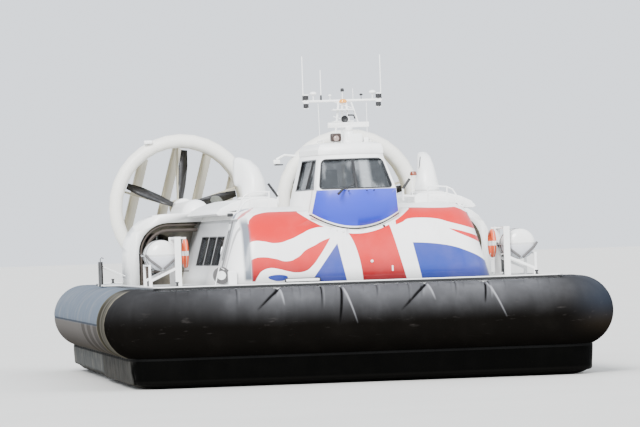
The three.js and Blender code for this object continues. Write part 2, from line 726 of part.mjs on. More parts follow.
function bowThruster() {
  const foot = TRUNK.top + RUN;
  const outer = elbow(0, foot, 90);
  const hollow = elbow(35, foot + 100, 300);
  const pin = bar([THRUSTER.x, THRUSTER.y, 4580], [THRUSTER.x, THRUSTER.y, foot + 60], SPIGOT, 32);
  return shape(join(outer.subtract(hollow), solid(pin)));
}
add("bow_thruster_port", bowThruster(), WHITE);
add(
  "bow_thruster_starboard",
  mirrored(bowThruster())
    .translate(THRUSTER.x, -THRUSTER.y, 0)
    .rotateZ(THREE.MathUtils.degToRad(THRUSTER_TURNED))
    .translate(-THRUSTER.x, THRUSTER.y, 0),
  WHITE,
);

// Ducts with their hub vanes and rudder brackets, propellers and rudders. The rudders and their
// brackets lean round the duct's axis.
function duct(lean) {
  const { front, length, lip, lipRadius, bore } = DUCT;
  const nose = arcPoints(0, 0, 1, 0, 180, 6).map(([c, s]) => [lipRadius - c * lip, lip - s * lip]);
  const profile = [...nose, [2065, 600], [1945, 1150], [1885, length], [1795, length], [bore, 1150]];
  const ringPoints = [...profile, profile[0]].map(([r, y]) => new THREE.Vector2(r, y + front));
  let ring = solid(new THREE.LatheGeometry(ringPoints, 32));
  if (ring.volume() < 0) {
    ring = solid(new THREE.LatheGeometry(ringPoints.reverse(), 32));
  }
  const vaneY = HUB.vaneY;
  const core = solid(bar([0, vaneY - 260, 0], [0, vaneY + 240, 0], HUB.radius, 24));
  const vanes = Array.from({ length: 5 }, (_, i) =>
    solid(box(-28, 28, vaneY - 150, vaneY + 150, 150, bore + 40).rotateY((i * 2 * Math.PI) / 5)),
  );
  const brackets = RUDDER.offsets.flatMap((x) =>
    [-1, 1].map((side) => {
      const z = side * Math.sqrt(RUDDER_RIM ** 2 - x * x);
      return box(x - 70, x + 70, front + length - 120, RUDDER.hingeY + 70, z - 40, z + 40).rotateY(lean);
    }),
  );
  const bores = RUDDER.offsets.map((x) =>
    solid(bar([x, RUDDER.hingeY, -2200], [x, RUDDER.hingeY, 2200], RUDDER.pin + SLACK, 16).rotateY(lean)),
  );
  const shaft = solid(bar([0, vaneY - 300, 0], [0, vaneY + 100, 0], HUB.shaft + SLACK, 24));
  const body = join(ring, core, ...vanes, ...brackets.map(solid)).subtract(shaft);
  const foot = solid(box(-620, 620, front + 260, front + length - 260, DECK_Z + GAP - DUCT.z, -1800));
  const bored = bores.reduce((a, b) => a.subtract(b), body);
  const throat = solid(bar([0, front - 100, 0], [0, front + length + 100, 0], bore + 60, 32));
  return shape(join(bored, foot.subtract(throat)));
}

function propeller() {
  const { propY, propLength, radius, shaft, vaneY } = HUB;
  const spinner = solid(
    new THREE.LatheGeometry(
      [
        new THREE.Vector2(0, propY + propLength / 2),
        new THREE.Vector2(radius - 10, propY + propLength / 2),
        new THREE.Vector2(radius - 10, propY - propLength / 2),
        new THREE.Vector2(0, propY - propLength / 2),
      ].reverse(),
      24,
    ),
  );
  const axle = solid(bar([0, propY, 0], [0, vaneY + 60, 0], shaft, 24));
  const stations = [0, 0.35, 0.7, 1].map((t) => {
    const r = 150 + (BLADE.tip - 150) * t;
    const twist = THREE.MathUtils.degToRad(BLADE.rootTwist + (BLADE.tipTwist - BLADE.rootTwist) * t);
    const chord = BLADE.chord * [0.75, 1.05, 1, 0.6][Math.round(t * 3)];
    const thick = BLADE.thick * (1.4 - t);
    const outline = [[-0.5, 0], [-0.15, -0.5], [0.5, 0], [-0.15, 0.5]];
    return outline.map(([c, h]) => {
      const [along, up] = [c * chord, h * thick];
      return new THREE.Vector3(
        along * Math.cos(twist) - up * Math.sin(twist),
        propY + along * Math.sin(twist) + up * Math.cos(twist),
        r,
      );
    });
  });
  const blade = loft(stations);
  const blades = Array.from({ length: BLADE.count }, (_, i) =>
    solid(blade.clone().rotateY((i * 2 * Math.PI) / BLADE.count + 0.1)),
  );
  return shape(join(spinner, axle, ...blades));
}

function rudder(x, lean) {
  const rim = Math.sqrt(RUDDER_RIM ** 2 - x * x);
  const { chord, nose, thick, hingeY, pin, turned } = RUDDER;
  const section = [
    [0, -nose],
    [thick * 0.36, -nose + chord * 0.06],
    [thick * 0.5, -nose + chord * 0.25],
    [thick * 0.34, -nose + chord * 0.6],
    [8, -nose + chord],
    [-8, -nose + chord],
    [-thick * 0.34, -nose + chord * 0.6],
    [-thick * 0.5, -nose + chord * 0.25],
    [-thick * 0.36, -nose + chord * 0.06],
  ];
  const top = rim - 40 - RUN;
  const blade = solid(prism(section, "z", -top, top));
  const post = solid(bar([0, 0, -rim - 20], [0, 0, rim + 20], pin, 16));
  return shape(join(blade, post))
    .rotateZ(-THREE.MathUtils.degToRad(turned))
    .translate(x, hingeY, 0)
    .rotateY(lean);
}

for (const [side, sign] of [["starboard", -1], ["port", 1]]) {
  const lean = -sign * THREE.MathUtils.degToRad(RUDDER.lean);
  add("duct_" + side, duct(lean).translate(sign * DUCT.x, 0, DUCT.z), CREAM);
  add("propeller_" + side, propeller().translate(sign * DUCT.x, 0, DUCT.z), DARK);
  RUDDER.offsets.forEach((x, i) => {
    add(`rudder_${side}_${i + 1}`, rudder(x, lean).translate(sign * DUCT.x, 0, DUCT.z), CREAM);
  });
}

// Drive fairing: a rounded casing from the engine room's roof back to the propeller's hub.
function driveFairing() {
  const roof = CABIN_LEVELS[CABIN_LEVELS.length - 1][0] + GAP;
  const end = HUB.propY - HUB.propLength / 2 - 12;
  const profile = [
    ...arcPoints(0, 0, 1, 270, 360, 7).map(([c, s]) => new THREE.Vector2(400 * c, 5300 + 400 * s)),
    new THREE.Vector2(400, DUCT.front - 300),
    new THREE.Vector2(250, DUCT.front + 200),
    new THREE.Vector2(250, end),
    new THREE.Vector2(0, end),
  ];
  profile[0].x = 0;
  const shell = solid(new THREE.LatheGeometry(profile, 20)).translate([DUCT.x, 0, DUCT.z - 220]);
  const above = shell.subtract(region(0, reach, 0, CABIN.rear + GAP, 0, roof));
  const hub = solid(bar([DUCT.x, DUCT.front - 500, DUCT.z], [DUCT.x, end, DUCT.z], HUB.radius, 20));
  const pylon = prism(
    [[DUCT.x - 170, CABIN.rear + 200], [DUCT.x, CABIN.rear + 20], [DUCT.x + 170, CABIN.rear + 200],
      [DUCT.x + 170, DUCT.front - 500], [DUCT.x, DUCT.front - 200], [DUCT.x - 170, DUCT.front - 500]],
    "z",
    DECK_Z + GAP,
    DUCT.z,
  );
  return shape(join(above, hub, solid(pylon)));
}
addPair("drive_fairing", driveFairing(), WHITE);

// Side-deck fittings: life-raft frames, rafts, lifebuoys and the folded gangway plates.
const raftEnd = RAFT.length / 2 + 60;
function raftFrame() {
  const parts = [];
  const low = DECK_Z + GAP;
  for (const end of [-1, 1]) {
    const y = RAFT.y + end * (raftEnd + FRAME_POST.thick / 2);
    const [y0, y1] = [y - FRAME_POST.thick / 2, y + FRAME_POST.thick / 2];
    const [x0, x1] = [FRAME_POST.x - FRAME_POST.wide / 2, FRAME_POST.x + FRAME_POST.wide / 2];
    parts.push(box(x0, x1, y0, y1, low, FRAME_POST.top));
    const slope = [[x0, 3060], [5000, 2680], [5000, 2610], [x0, 2990]];
    parts.push(prism(slope, "y", y0, y1));
    parts.push(box(4930, 5000, y0, y1, low, 2680));
  }
  const reachIn = RAFT.spread - 30;
  const flat = RAFT.radius * Math.cos(Math.PI / RAFT.sides) + GAP;
  const z = RAFT.z - Math.sqrt(flat ** 2 - reachIn ** 2);
  for (const x of [RAFT.x - RAFT.spread, RAFT.x + RAFT.spread]) {
    parts.push(box(x - 30, x + 30, RAFT.y - raftEnd - 40, RAFT.y + raftEnd + 40, z - 40, z));
    for (const end of [-1, 1]) {
      const y = RAFT.y + end * (raftEnd + 30);
      parts.push(box(x - 30, x + 30, y - 30, y + 30, low, z));
    }
  }
  const hook = box(BUOY.x - 30, FRAME_POST.x, RAFT.y - 40, RAFT.y + 40, 3710, 3750);
  const rail = box(FRAME_POST.x - 40, FRAME_POST.x + 40, RAFT.y - raftEnd, RAFT.y + raftEnd, 3700, 3760);
  return shape(join(...parts.map(solid), solid(hook), solid(rail)));
}
addPair("raft_frame", raftFrame(), WHITE);

function liferaft() {
  const half = RAFT.length / 2;
  const dome = 190;
  const profile = [
    [0, -half],
    [RAFT.radius * 0.62, -half + dome * 0.18],
    [RAFT.radius * 0.9, -half + dome * 0.55],
    [RAFT.radius, -half + dome],
    [RAFT.radius, half - dome],
    [RAFT.radius * 0.9, half - dome * 0.55],
    [RAFT.radius * 0.62, half - dome * 0.18],
    [0, half],
  ].map(([r, y]) => new THREE.Vector2(r, y));
  const can = solid(new THREE.LatheGeometry(profile, RAFT.sides));
  const lipWidth = RAFT.radius + RAFT.lip;
  const flange = solid(box(-lipWidth, lipWidth, -half + 120, half - 120, -14, 14));
  return shape(join(can, flange)).translate(RAFT.x, RAFT.y, RAFT.z);
}
addPair("liferaft", liferaft(), WHITE);

addPair(
  "lifebuoy",
  new THREE.TorusGeometry(BUOY.radius, BUOY.tube, 8, 20)
    .rotateY(Math.PI / 2)
    .translate(BUOY.x, RAFT.y, BUOY.z),
  ORANGE,
);

function gangway() {
  const { x, y, half, hinge, top, thick } = GANGWAY;
  const plate = solid(box(x - thick / 2, x + thick / 2, y - half + 60, y + half - 60, hinge - 10, top));
  const barrel = solid(bar([x, y - half + 60 + 31, hinge], [x, y + half - 60 - 31, hinge], 26, 12));
  const pin = solid(bar([x, y - half + 40, hinge], [x, y + half - 40, hinge], GANGWAY.pin, 12));
  const notches = [-1, 1].map((end) =>
    solid(
      box(x - 60, x + 60, y + end * (half - 60) - 31, y + end * (half - 60) + 31, hinge - 60, hinge + 46),
    ),
  );
  const stays = [-1, 1].map((end) =>
    solid(
      bar([x, y + end * (half - 120), top - 120], [BAY.out + 14, y + end * (half - 120), 2760], 13, 8),
    ),
  );
  const cut = notches.reduce((a, b) => a.subtract(b), join(plate, barrel));
  return shape(join(cut, pin, ...stays));
}
addPair("gangway_plate", gangway(), DARK);

// Mast on the wheelhouse roof, and the turning radar scanner in front of it.
function mast() {
  const foot = WHEELHOUSE.roofTop - 30;
  const parts = [];
  for (const side of [-1, 1]) {
    parts.push(bar([side * MAST.spread, MAST.y, foot], [side * 90, MAST.y, MAST.yard], MAST.leg, 6));
    const tip = side * MAST.yardHalf * 0.98;
    parts.push(bar([tip, MAST.y, MAST.yard], [tip, MAST.y, MAST.whip], 13, 6));
    const lamp = side * 930;
    parts.push(box(lamp - 60, lamp + 60, MAST.y - 70, MAST.y + 70, MAST.yard - 190, MAST.yard + 180));
  }
  parts.push(bar([-MAST.yardHalf, MAST.y, MAST.yard], [MAST.yardHalf, MAST.y, MAST.yard], 32, 8));
  parts.push(bar([0, MAST.y + 330, foot], [0, MAST.y, MAST.yard], MAST.leg, 6));
  for (const z of [6560, 6860]) {
    parts.push(box(-260, 260, MAST.y - 150, MAST.y + 240, z - 14, z + 14));
  }
  parts.push(bar([-540, MAST.y, MAST.yard], [-540, MAST.y, 7880], 13, 6));
  return shape(join(...parts.map(solid)).subtract(wheelhouseRoofBlock()));
}
// The roof's outline grown a little, to fit the mast's feet to its slope.
function wheelhouseRoofBlock() {
  const over = WHEELHOUSE.roofOver;
  return solid(
    loft([
      wheelhouseRing(5700, over + GAP, 5690),
      wheelhouseRing(5700, over + GAP, WHEELHOUSE.roofTop - 170),
      wheelhouseRing(5700, over - 60 + GAP, WHEELHOUSE.roofTop - 50 + GAP),
      wheelhouseRing(5700, over - 210 + GAP, WHEELHOUSE.roofTop + GAP),
    ]),
  );
}
add("mast", mast(), WHITE);

function radar() {
  const { y, z, half, high, deep } = RADAR;
  const array = solid(box(-half, half, y - deep / 2, y + deep / 2, z, z + high));
  const boss = solid(bar([0, y, z - 90], [0, y, z + 20], 110, 16));
  const spindle = solid(bar([0, y, z - 200], [0, y, z - 60], RADAR.spindle, 16));
  return shape(join(array, boss, spindle));
}
add("radar_scanner", radar(), WHITE);

export default craft;
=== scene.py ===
"""Dresses the passenger hovercraft: skirt, paint, glass, deck gear, aerials and machinery details.

Metres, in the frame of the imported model: +X is to port, +Y is aft, +Z is up.
"""
import functools
import math

import bmesh
import bpy
import numpy as np
from bpy.props import FloatProperty, FloatVectorProperty, IntProperty, PointerProperty
from mathutils import Matrix, Vector
from mathutils.bvhtree import BVHTree


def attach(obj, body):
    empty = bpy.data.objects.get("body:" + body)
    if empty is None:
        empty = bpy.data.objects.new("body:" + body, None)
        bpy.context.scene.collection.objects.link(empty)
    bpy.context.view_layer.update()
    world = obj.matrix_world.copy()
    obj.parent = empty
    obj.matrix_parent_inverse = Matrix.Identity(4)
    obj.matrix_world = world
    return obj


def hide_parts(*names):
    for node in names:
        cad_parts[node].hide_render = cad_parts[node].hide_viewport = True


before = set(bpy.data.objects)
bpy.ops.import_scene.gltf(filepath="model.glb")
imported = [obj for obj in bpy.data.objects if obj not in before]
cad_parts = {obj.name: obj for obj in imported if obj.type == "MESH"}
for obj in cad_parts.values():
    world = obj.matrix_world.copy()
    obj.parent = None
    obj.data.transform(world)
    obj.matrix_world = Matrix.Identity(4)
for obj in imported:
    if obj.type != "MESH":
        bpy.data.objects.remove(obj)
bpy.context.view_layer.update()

bl_info = {
    "name": "Passenger hovercraft",
    "version": (1, 0, 0),
    "blender": (4, 5, 0),
    "location": "View3D > Sidebar > Hovercraft",
    "description": "Builds the skirt, finishes and fittings of a passenger hovercraft round its frame",
    "category": "Object",
}

SIDES = {"port": 1, "starboard": -1}
TAU = 2 * math.pi

# Places that pieces and finishes share. Pairs given for the port side are mirrored to starboard.
DECK_Z = 2.502
MAST_Y = -8.25
RAFT_AT, BUOY_AT = (4.64, -6.75, 3.30), (3.99, -6.75, 3.3325)
THRUSTER_X, THRUSTER_Y, THRUSTER_FOOT_Z = 2.23, -7.45, 4.672
DUCT_X, DUCT_Z = 2.44, 4.64
# The fan bay's arch: centre of its round shoulder.
ARCH_X, ARCH_Z = 3.85, 3.35
# The cabin's side wall leans inwards by its slope from a place at a height.
WALL_X, WALL_Z, WALL_SLOPE = 3.302, 2.87, 0.2665


def chin(x, z):
    """Height over the curve of the chin panel's lower edge, z = 3.78 + 0.29 x squared."""
    return z - (x * x * 0.29 + 3.78)


# Surfaces. A Form gathers grids of points and turns them into one mesh.
class Form:
    """Grids of points joined into one mesh, each grid with the number of its finish, its coat."""

    def __init__(self):
        self.points, self.faces, self.coats, self.count = [], [], [], 0

    def grid(self, P, around=False, along=False, coat=0):
        """Quads between neighbouring points of a rows x columns x 3 array, closed on itself where asked."""
        P = np.asarray(P, float)
        rows, columns = P.shape[:2]
        r = np.arange(rows if along else rows - 1)
        c = np.arange(columns if around else columns - 1)
        R, C = np.meshgrid(r, c, indexing="ij")
        R1, C1 = (R + 1) % rows, (C + 1) % columns
        quads = np.stack([R * columns + C, R * columns + C1, R1 * columns + C1, R1 * columns + C], -1)
        self.points.append(P.reshape(-1, 3))
        self.faces.append(quads.reshape(-1, 4) + self.count)
        self.coats.append(np.full(quads.shape[0] * quads.shape[1], coat))
        self.count += rows * columns
        return self

    def tube(self, path, radius, sides=8, coat=0, closed=False):
        """A circle of the radius carried along the path, square to its direction, with flat ends."""
        path = np.asarray(path, float)
        radius = np.broadcast_to(np.asarray(radius, float), len(path)).copy()
        if closed:
            ahead = np.roll(path, -1, 0) - np.roll(path, 1, 0)
        else:
            ahead = np.gradient(path, axis=0)
        ahead /= np.linalg.norm(ahead, axis=1)[:, None]
        spread = np.abs(path.max(0) - path.min(0))
        side = np.cross(ahead, np.eye(3)[int(np.argmin(spread))])
        side /= np.linalg.norm(side, axis=1)[:, None]
        up = np.cross(side, ahead)
        if not closed:
            path, side, up = (np.concatenate([part[:1], part, part[-1:]]) for part in (path, side, up))
            radius = np.concatenate([[0], radius, [0]])
        a = np.linspace(0, TAU, sides, endpoint=False)
        ring = np.cos(a)[None, :, None] * side[:, None] + np.sin(a)[None, :, None] * up[:, None]
        return self.grid(path[:, None] + radius[:, None, None] * ring, True, closed, coat)

    def lathe(self, profile, at, axis=(0, 0, 1), sides=24, coat=0, loop=False):
        """A profile of (radius, height) pairs turned round an axis at a point. A loop closes on itself."""
        profile = np.asarray(profile, float)
        turn = Vector((0, 0, 1)).rotation_difference(Vector(axis)).to_matrix()
        a = np.linspace(0, TAU, sides, endpoint=False)
        r, h = profile[:, 0, None], profile[:, 1, None]
        P = np.stack([r * np.cos(a), r * np.sin(a), h + 0 * a], -1) @ np.array(turn).T
        return self.grid(P + np.asarray(at, float), True, loop, coat)

    def block(self, low, high, power=0.16, coat=0, turn=None, rows=11, columns=24):
        """A box with rounded edges: sines and cosines of two angles raised to a small power fill the box."""
        low, high = np.asarray(low, float), np.asarray(high, float)
        u = np.linspace(-math.pi / 2, math.pi / 2, rows)[:, None]
        v = np.linspace(0, TAU, columns, endpoint=False)[None] + TAU / columns / 2
        bent = lambda t: np.sign(t) * np.abs(t) ** power
        level, height = bent(np.cos(u)), bent(np.sin(u))
        P = np.stack([level * bent(np.cos(v)), level * bent(np.sin(v)), height + 0 * v], -1)
        P *= (high - low) / 2
        if turn is not None:
            P = P @ np.array(turn).T
        return self.grid(P + (low + high) / 2, True, False, coat)

    def sphere(self, at, radius, squash=1.0, coat=0, sides=16):
        """Points at one distance from a centre, flattened in height."""
        u = np.linspace(-math.pi / 2, math.pi / 2, sides // 2 + 1)
        profile = np.stack([radius * np.cos(u), radius * squash * np.sin(u)], -1)
        return self.lathe(profile, at, sides=sides, coat=coat)

    def mesh(self, name, finishes):
        """The grids as one mesh with its finishes, not yet merged."""
        mesh = bpy.data.meshes.new(name)
        mesh.from_pydata(np.concatenate(self.points), [], np.concatenate(self.faces).tolist())
        for material in finishes:
            mesh.materials.append(material)
        mesh.polygons.foreach_set("material_index", np.concatenate(self.coats).astype(np.int32))
        return mesh

    def piece(self, name, body, slot, coats, smooth=40, replaces=(), marks=None):
        """The mesh as one named piece that rides on a body, with marks as numbers at its points."""
        mesh = self.mesh(name, [finish(coat) for coat in coats])
        for key, values in (marks or {}).items():
            numbers = values.ravel().astype(np.float32)
            mesh.attributes.new(key, "FLOAT", "POINT").data.foreach_set("value", numbers)
        return settled(mesh, name, body, smooth, replaces)


def merge(mesh, outward=True):
    """Joins a mesh's doubles, drops faces without area and turns the others outwards where asked."""
    work = bmesh.new()
    work.from_mesh(mesh)
    bmesh.ops.remove_doubles(work, verts=work.verts, dist=2e-5)
    bmesh.ops.dissolve_degenerate(work, edges=work.edges, dist=1e-6)
    if outward:
        bmesh.ops.recalc_face_normals(work, faces=work.faces)
    work.to_mesh(mesh)
    work.free()


def settled(mesh, name, body, smooth, replaces):
    """Merges a mesh, shades it smooth up to an angle and rides it on a body."""
    merge(mesh)
    mesh.polygons.foreach_set("use_smooth", np.ones(len(mesh.polygons), bool))
    mesh.set_sharp_from_angle(angle=math.radians(smooth))
    piece = bpy.data.objects.new(name, mesh)
    bpy.context.scene.collection.objects.link(piece)
    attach(piece, body)
    if replaces:
        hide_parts(*replaces)
    return piece


def smoothed(node, name, body, coat, smooth=34, edge=0.0):
    """A merged copy of a node's mesh with smooth shading and softened edges, which stands for the node."""
    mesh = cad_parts[node].data.copy()
    mesh.name = name
    mesh.materials.clear()
    mesh.materials.append(finish(coat))
    mesh.polygons.foreach_set("material_index", np.zeros(len(mesh.polygons), np.int32))
    piece = settled(mesh, name, body, smooth, (node,))
    if edge:
        bevel = piece.modifiers.new("Softened edges", "BEVEL")
        bevel.width, bevel.segments, bevel.limit_method = edge, 2, "ANGLE"
        bevel.angle_limit = math.radians(40)
        bevel.harden_normals = True
    return piece


def facing_bow(node, places):
    """Where lines from ahead of the bow, at some x and z, first meet a node."""
    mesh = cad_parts[node].data
    tree = BVHTree.FromPolygons([v.co for v in mesh.vertices], [p.vertices for p in mesh.polygons])
    return [tree.ray_cast(Vector((x, -20.0, z)), Vector((0, 1, 0)))[0] for x, z in places]


def dress(node, coat):
    """Gives a node of the frame a finish in all its slots."""
    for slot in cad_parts[node].material_slots:
        slot.material = finish(coat)


# Materials. A Value is a socket whose arithmetic adds Math nodes.
class Value:
    """A number or a colour that varies over a surface. Plain arithmetic combines numbers."""

    def __init__(self, paint, socket):
        self.paint, self.socket = paint, socket

    def math(self, operation, *others):
        return self.paint.add("Math", {"operation": operation}, [self, *others])

    def __add__(self, other):
        return self.math("ADD", other)

    def __sub__(self, other):
        return self.math("SUBTRACT", other)

    def __rsub__(self, other):
        return self.paint.add("Math", {"operation": "SUBTRACT"}, [other, self])

    def __mul__(self, other):
        return self.math("MULTIPLY", other)

    def __pow__(self, other):
        return self.math("POWER", other)

    def __mod__(self, other):
        return self.math("FLOORED_MODULO", other)

    def __abs__(self):
        return self.math("ABSOLUTE")

    __radd__, __rmul__ = __add__, __mul__

    def most(self, other):
        return self.math("MAXIMUM", other)

    def rise(self, low, high):
        """0 below low, 1 above high, and an even curve between."""
        ends = {"From Min": low, "From Max": high, "To Min": 0.0, "To Max": 1.0}
        return self.paint.add("MapRange", {"interpolation_type": "SMOOTHSTEP"}, {"Value": self, **ends})

    def fall(self, low, high):
        """1 below low, 0 above high, and an even curve between."""
        return 1 - self.rise(low, high)

    def between(self, low, high, soft=0.004):
        """1 between two bounds and 0 outside them, with soft edges."""
        return self.rise(low - soft, low + soft) * self.fall(high - soft, high + soft)

    def lines(self, pitch, width, offset=0.0):
        """1 on thin lines a pitch apart."""
        share = (self + (offset + pitch * 1000.5)) % pitch
        return abs(share - pitch / 2).fall(width * 0.5, width * 0.5 + 0.004)

    def curve(self, points):
        """A smooth curve through (value, result) points."""
        xs, ys = np.array(points, float).T
        x0, x1, y0, y1 = xs.min(), xs.max(), ys.min(), ys.max() + 1e-6
        share = self.paint.add("MapRange", None, {"Value": self, "From Min": x0, "From Max": x1})
        result = self.paint.add("FloatCurve", None, {"Value": share})
        mapping = result.socket.node.mapping
        line = mapping.curves[0]
        pairs = sorted(zip((xs - x0) / (x1 - x0), (ys - y0) / (y1 - y0)))
        while len(line.points) < len(pairs):
            line.points.new(0.5, 0.5)
        for point, pair in zip(line.points, pairs):
            point.location = pair
        mapping.update()
        return result * float(y1 - y0) + float(y0)


class Paint:
    """A material under construction: the surface's place as x, y and z, its colour and its height so far."""

    def __init__(self, name, colour=None):
        self.material = bpy.data.materials.new(name)
        self.material.use_nodes = True
        self.tree = self.material.node_tree
        self.place = self.add("TexCoord", out="Object")
        self.x, self.y, self.z = self.parts(self.place)
        self.colour, self.height = colour, None

    def add(self, kind, settings=None, values=(), out=0):
        """A node of a kind, its settings first and then its sockets, as a Value of one output."""
        node = self.tree.nodes.new("ShaderNode" + kind)
        for key, value in (settings or {}).items():
            setattr(node, key, value)
        self.fill(node, values)
        return Value(self, node.outputs[out])

    def fill(self, node, values):
        """Links or sets a node's sockets, given in order or by place or name."""
        for key, value in values.items() if isinstance(values, dict) else enumerate(values):
            socket = node.inputs[key]
            if isinstance(value, Value):
                self.tree.links.new(value.socket, socket)
            elif socket.type == "RGBA":
                socket.default_value = (*value[:3], 1.0)
            else:
                socket.default_value = value

    def parts(self, vector):
        """The three parts of a place or a direction."""
        node = self.add("SeparateXYZ", None, [vector]).socket.node
        return [Value(self, socket) for socket in node.outputs]

    def noise(self, scale, detail=3.0, stretch=None):
        """Cloudy values from 0 to 1, stretched along the axes."""
        place = self.place
        if stretch is not None:
            place = self.add("Mapping", None, {"Vector": place, "Scale": stretch})
        values = {"Vector": place, "Scale": scale, "Detail": detail, "Roughness": 0.55}
        return self.add("TexNoise", None, values)

    def blend(self, share, a, b):
        """Colour a where share is 0 and colour b where it is 1."""
        return self.add("Mix", {"data_type": "RGBA"}, {0: share, 6: a, 7: b}, 2)

    def lay(self, share, colour):
        """Lays a colour over the paint so far, where share is 1."""
        self.colour = self.blend(share, self.colour, colour)

    def done(self, roughness, height=None, strength=0.3, depth=0.01, **sockets):
        """Connects the finish and returns the material. Sockets are named with _ for each space."""
        values = {"Base Color": self.colour, "Roughness": roughness}
        values.update((key.replace("_", " "), value) for key, value in sockets.items())
        if height is not None:
            bump = {"Strength": strength, "Distance": depth, "Height": height}
            values["Normal"] = self.add("Bump", None, bump)
        self.fill(self.tree.nodes["Principled BSDF"], values)
        return self.material


# Colours, linear.
WHITE = (0.90, 0.90, 0.885)
SHADE = (0.50, 0.50, 0.48)
GRIME = (0.23, 0.21, 0.17)
RED = (0.58, 0.0025, 0.0032)
# Flag red darkened by painted shade, for the nose's lower, upright part.
SHADED_RED = (0.26, 0.004, 0.007)
BLUE = (0.016, 0.040, 0.27)
CHIN_BLUE = (0.014, 0.036, 0.52)
BLACK = (0.012, 0.012, 0.013)
RUBBER_GREY = (0.10, 0.105, 0.11)
CREAM = (0.60, 0.56, 0.44)


def weathered(name, colour, amount=1.0):
    """A paint with cloudy fading and vertical grime streaks."""
    paint = Paint(name, colour)
    cloud = paint.noise(0.9, 4)
    streak = paint.noise(3.2, 4, (1.0, 1.0, 0.12)).rise(0.52, 0.82)
    paint.lay(streak * (0.20 * amount), GRIME)
    paint.lay(cloud.rise(0.45, 0.85) * (0.16 * amount), SHADE)
    return paint


def white_paint(name="White paint", amount=1.0, seam=None, marks=None):
    """Glossy white paint on aluminium plate: faint seams a pitch apart along y, streaks and orange peel."""
    paint = weathered(name, WHITE, amount)
    paint.height = paint.noise(160, 2) * 0.12
    if seam:
        line = paint.y.lines(seam, 0.006)
        paint.lay(line * 0.45, GRIME)
        paint.height -= line * 0.5
    if marks:
        marks(paint)
    rough = 0.26 + paint.noise(2.5, 4) * 0.2
    return paint.done(rough, paint.height, 0.25, 0.004, Coat_Weight=0.25, Coat_Roughness=0.3)


# Boundaries of the waving flag painted on the nose, in x and z, read from starboard to port.
FLAG = {
    "upper red top": [
        (-2.68, 4.02), (-2.6, 4.17), (-2.4, 4.27), (-2.0, 4.32), (-1.6, 4.32), (-1.2, 4.27),
        (-1.0, 4.2),
    ],
    "upper red foot": [
        (-2.74, 3.48), (-2.56, 3.59), (-2.36, 3.57), (-2.06, 3.52), (-1.73, 3.59), (-1.38, 3.74),
        (-1.12, 3.85), (-0.89, 3.885), (-0.7, 3.85),
    ],
    "lower red top": [
        (-2.72, 3.03), (-2.6, 3.16), (-2.4, 3.18), (-2.09, 3.13), (-1.8, 3.06), (-1.55, 3.14),
        (-1.31, 3.33), (-1.08, 3.44), (-0.89, 3.54), (-0.68, 3.61),
    ],
    "lower red foot": [
        (-2.62, 2.58), (-2.55, 2.71), (-2.43, 2.84), (-2.24, 2.9), (-2.02, 2.87), (-1.8, 2.81),
        (-1.58, 2.77), (-1.35, 2.8), (-1.17, 2.93), (-0.99, 3.15), (-0.81, 3.41), (-0.69, 3.6),
    ],
    "small blue top": [
        (-2.3, 2.66), (-2.19, 2.72), (-2.03, 2.73), (-1.8, 2.67),
    ],
    "small blue foot": [
        (-2.3, 2.66), (-2.19, 2.6), (-2.03, 2.57), (-1.8, 2.66),
    ],
    "great blue top": [
        (1.38, 3.43), (1.72, 3.41), (2.06, 3.37), (2.41, 3.3), (2.75, 3.18), (3.13, 3.0), (3.42, 2.78),
    ],
    "thin red top": [
        (2.34, 3.755), (2.58, 3.7), (2.82, 3.63), (3.09, 3.54), (3.3, 3.45),
    ],
    "thin red foot": [
        (2.34, 3.75), (2.57, 3.63), (2.8, 3.53), (3.06, 3.42), (3.3, 3.3),
    ],
    "far red top": [
        (1.1, 4.4), (1.36, 4.335), (1.74, 4.3), (2.08, 4.285), (2.44, 4.285), (2.9, 4.33),
    ],
    "far red foot": [
        (1.0, 3.88), (1.19, 3.95), (1.37, 4.03), (1.68, 4.04), (2.03, 4.01), (2.37, 3.91), (2.72, 3.81),
        (3.1, 3.7),
    ],
}


